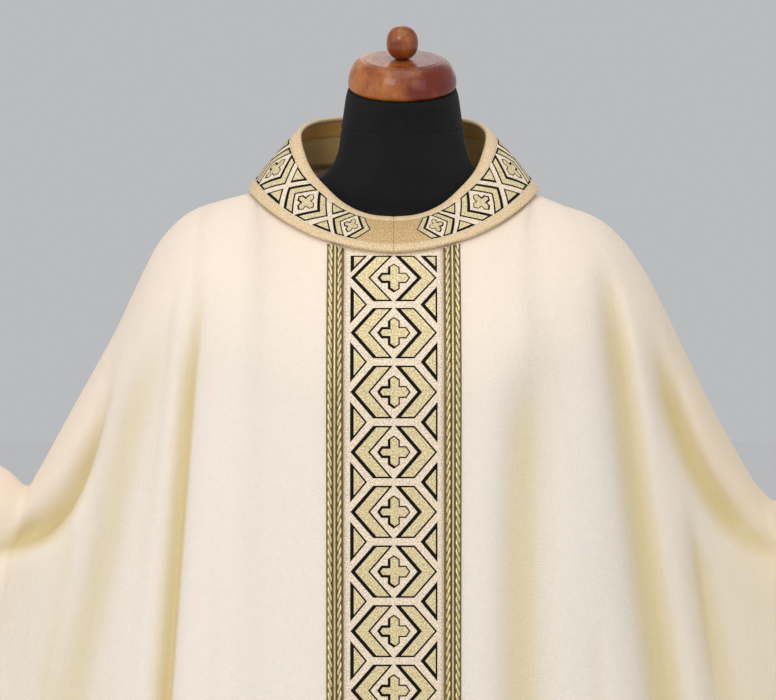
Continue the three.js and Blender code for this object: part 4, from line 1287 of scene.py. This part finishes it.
def addTorso():
    rows = np.linspace(0, len(formRows["z"]) - 1, 230)
    turns = np.linspace(0, 2 * math.pi, form["sides"] + 1)[:-1, None]
    z, half, front, back, lean = (along(column, rows) for column in formRows.values())
    seam = form["seamDepth"] * np.exp(-((rows - form["seamRow"]) / 0.07)**2)
    forward = np.where(np.cos(turns) > 0, front - seam, back - seam) * np.cos(turns)
    points = np.stack(np.broadcast_arrays((half - seam) * np.sin(turns), form["neckY"] - forward,
                                          z - forward * np.tan(np.radians(lean))), -1)
    n, m = points.shape[:2]
    faces = gridFaces(n, m, loopColumns=True).tolist()
    faces.append([k * m for k in range(n)])
    faces.append([k * m + m - 1 for k in range(n)][::-1])
    piece = makePiece("form_jersey", points + (formShift, seatY, 0), faces, ["jersey"])
    return finish(piece, "black_jersey", "form_torso")


def rounded(profile, radius, count=5):
    # a turned outline with its inner corners rounded
    points = [np.array(p, float) for p in profile]
    made = [tuple(points[0])]
    for before, corner, after in zip(points, points[1:], points[2:]):
        reachA = min(radius, np.linalg.norm(before - corner) / 2)
        reachB = min(radius, np.linalg.norm(after - corner) / 2)
        a = corner + (before - corner) / np.linalg.norm(before - corner) * reachA
        b = corner + (after - corner) / np.linalg.norm(after - corner) * reachB
        for t in np.linspace(0, 1, count):
            made.append(tuple((1 - t)**2 * a + 2 * t * (1 - t) * corner + t * t * b))
    made.append(tuple(points[-1]))
    return made


def addTurned(name, node, slot, material, profile, place, tilt=0.0, stretch=(1, 1), sides=128):
    # a turned piece, whose profile starts and ends on its axis
    turns = np.linspace(0, 2 * math.pi, sides + 1)[:-1, None]
    radii, heights = np.array(profile[1:-1], float).T
    sideways, backwards = radii * np.cos(turns) * stretch[0], radii * np.sin(turns) * stretch[1]
    ring = np.stack(np.broadcast_arrays(sideways, backwards, heights), -1)
    ends = [(0, 0, profile[0][1]), (0, 0, profile[-1][1])]
    n, m = ring.shape[:2]
    faces = gridFaces(n, m, loopColumns=True, flip=True).tolist()
    for k in range(n):
        after = (k + 1) % n
        faces.append([n * m, after * m, k * m])
        faces.append([n * m + 1, k * m + m - 1, after * m + m - 1])
    lean = math.radians(tilt)
    turned = np.array([[1, 0, 0], [0, math.cos(lean), -math.sin(lean)], [0, math.sin(lean), math.cos(lean)]])
    points = np.concatenate([ring.reshape(-1, 3), ends]) @ turned.T + place + (formShift, seatY, 0)
    return finish(makePiece(name, points, faces, [material]), slot, node)


def capProfile():
    c = capShape
    top, radius, height = c["topRadius"], c["radius"], c["height"]
    side = []
    for t in np.linspace(0, 1, 18):  # from the widest place in to the top's edge
        angle = t * math.pi / 2
        side.append((top + (radius - top) * math.cos(angle) ** 0.9,
                     c["widest"] + (height - c["widest"] - 0.6) * math.sin(angle) ** 1.15))
    foot = [(0, 0), (c["foot"] - 1, 0), (c["foot"] + 1.5, 0.5), (c["foot"] + 3.6, 2.4), (radius - 0.3, 5)]
    return [*foot, *side, (top - 0.9, height - 0.1), (top - 2.4, height), (20, height), (0, height)]


def smoothProfile(profile, count=60):
    points = np.array(profile, float)
    rows = np.linspace(0, len(points) - 1, count)
    made = np.stack([along(points[:, 0], rows), along(points[:, 1], rows)], -1)
    made[:, 0] = np.maximum(made[:, 0], 0)
    return [tuple(p) for p in made]


def addForm():
    addTorso()
    neckTop, lean, gap = formRows["z"][0], formRows["lean"][0], 0.3
    tilt = math.radians(lean)
    up = capShape["height"] + gap
    neckY = form["neckY"]
    wooden = ("polished_wood", "wood")
    addTurned("neck_cap_wood", "neck_cap", *wooden, capProfile(), (0, neckY, neckTop + gap), lean)
    addTurned("neck_knob_wood", "neck_knob", *wooden, smoothProfile(knobProfile),
              (0, neckY - up * math.sin(tilt), neckTop + gap + up * math.cos(tilt)), lean)
    h = hipPlate["height"]
    plate = rounded(((0, 0), (1, 0), (1, h), (0, h)), hipPlate["edge"] / hipPlate["radiusY"])
    addTurned("hip_plate_wood", "hip_plate", *wooden, plate, (0, neckY, formRows["z"][-1] - gap - h),
              stretch=(hipPlate["radiusX"], hipPlate["radiusY"]))
    length, radius = pole["top"] - pole["bottom"], pole["radius"]
    tube = rounded(((0, 0), (radius, 0), (radius, length), (0, length)), 1)
    addTurned("stand_pole_steel", "stand_pole", "black_steel", "steel", tube, (0, neckY, pole["bottom"]),
              sides=48)
    addTurned("stand_base_wood", "stand_base", *wooden, rounded(baseProfile, 6), (0, neckY, 0))


# ---- the whole

addCamera()
addStudio()
frontCloth, backCloth = addPanel("front"), addPanel("back")
print("panels made")
addOrphrey()
addBraid("braid_left", -1)
addBraid("braid_right", 1)
print("orphrey made")
addCollar()
print("collar made")
addForm()
print("form made")
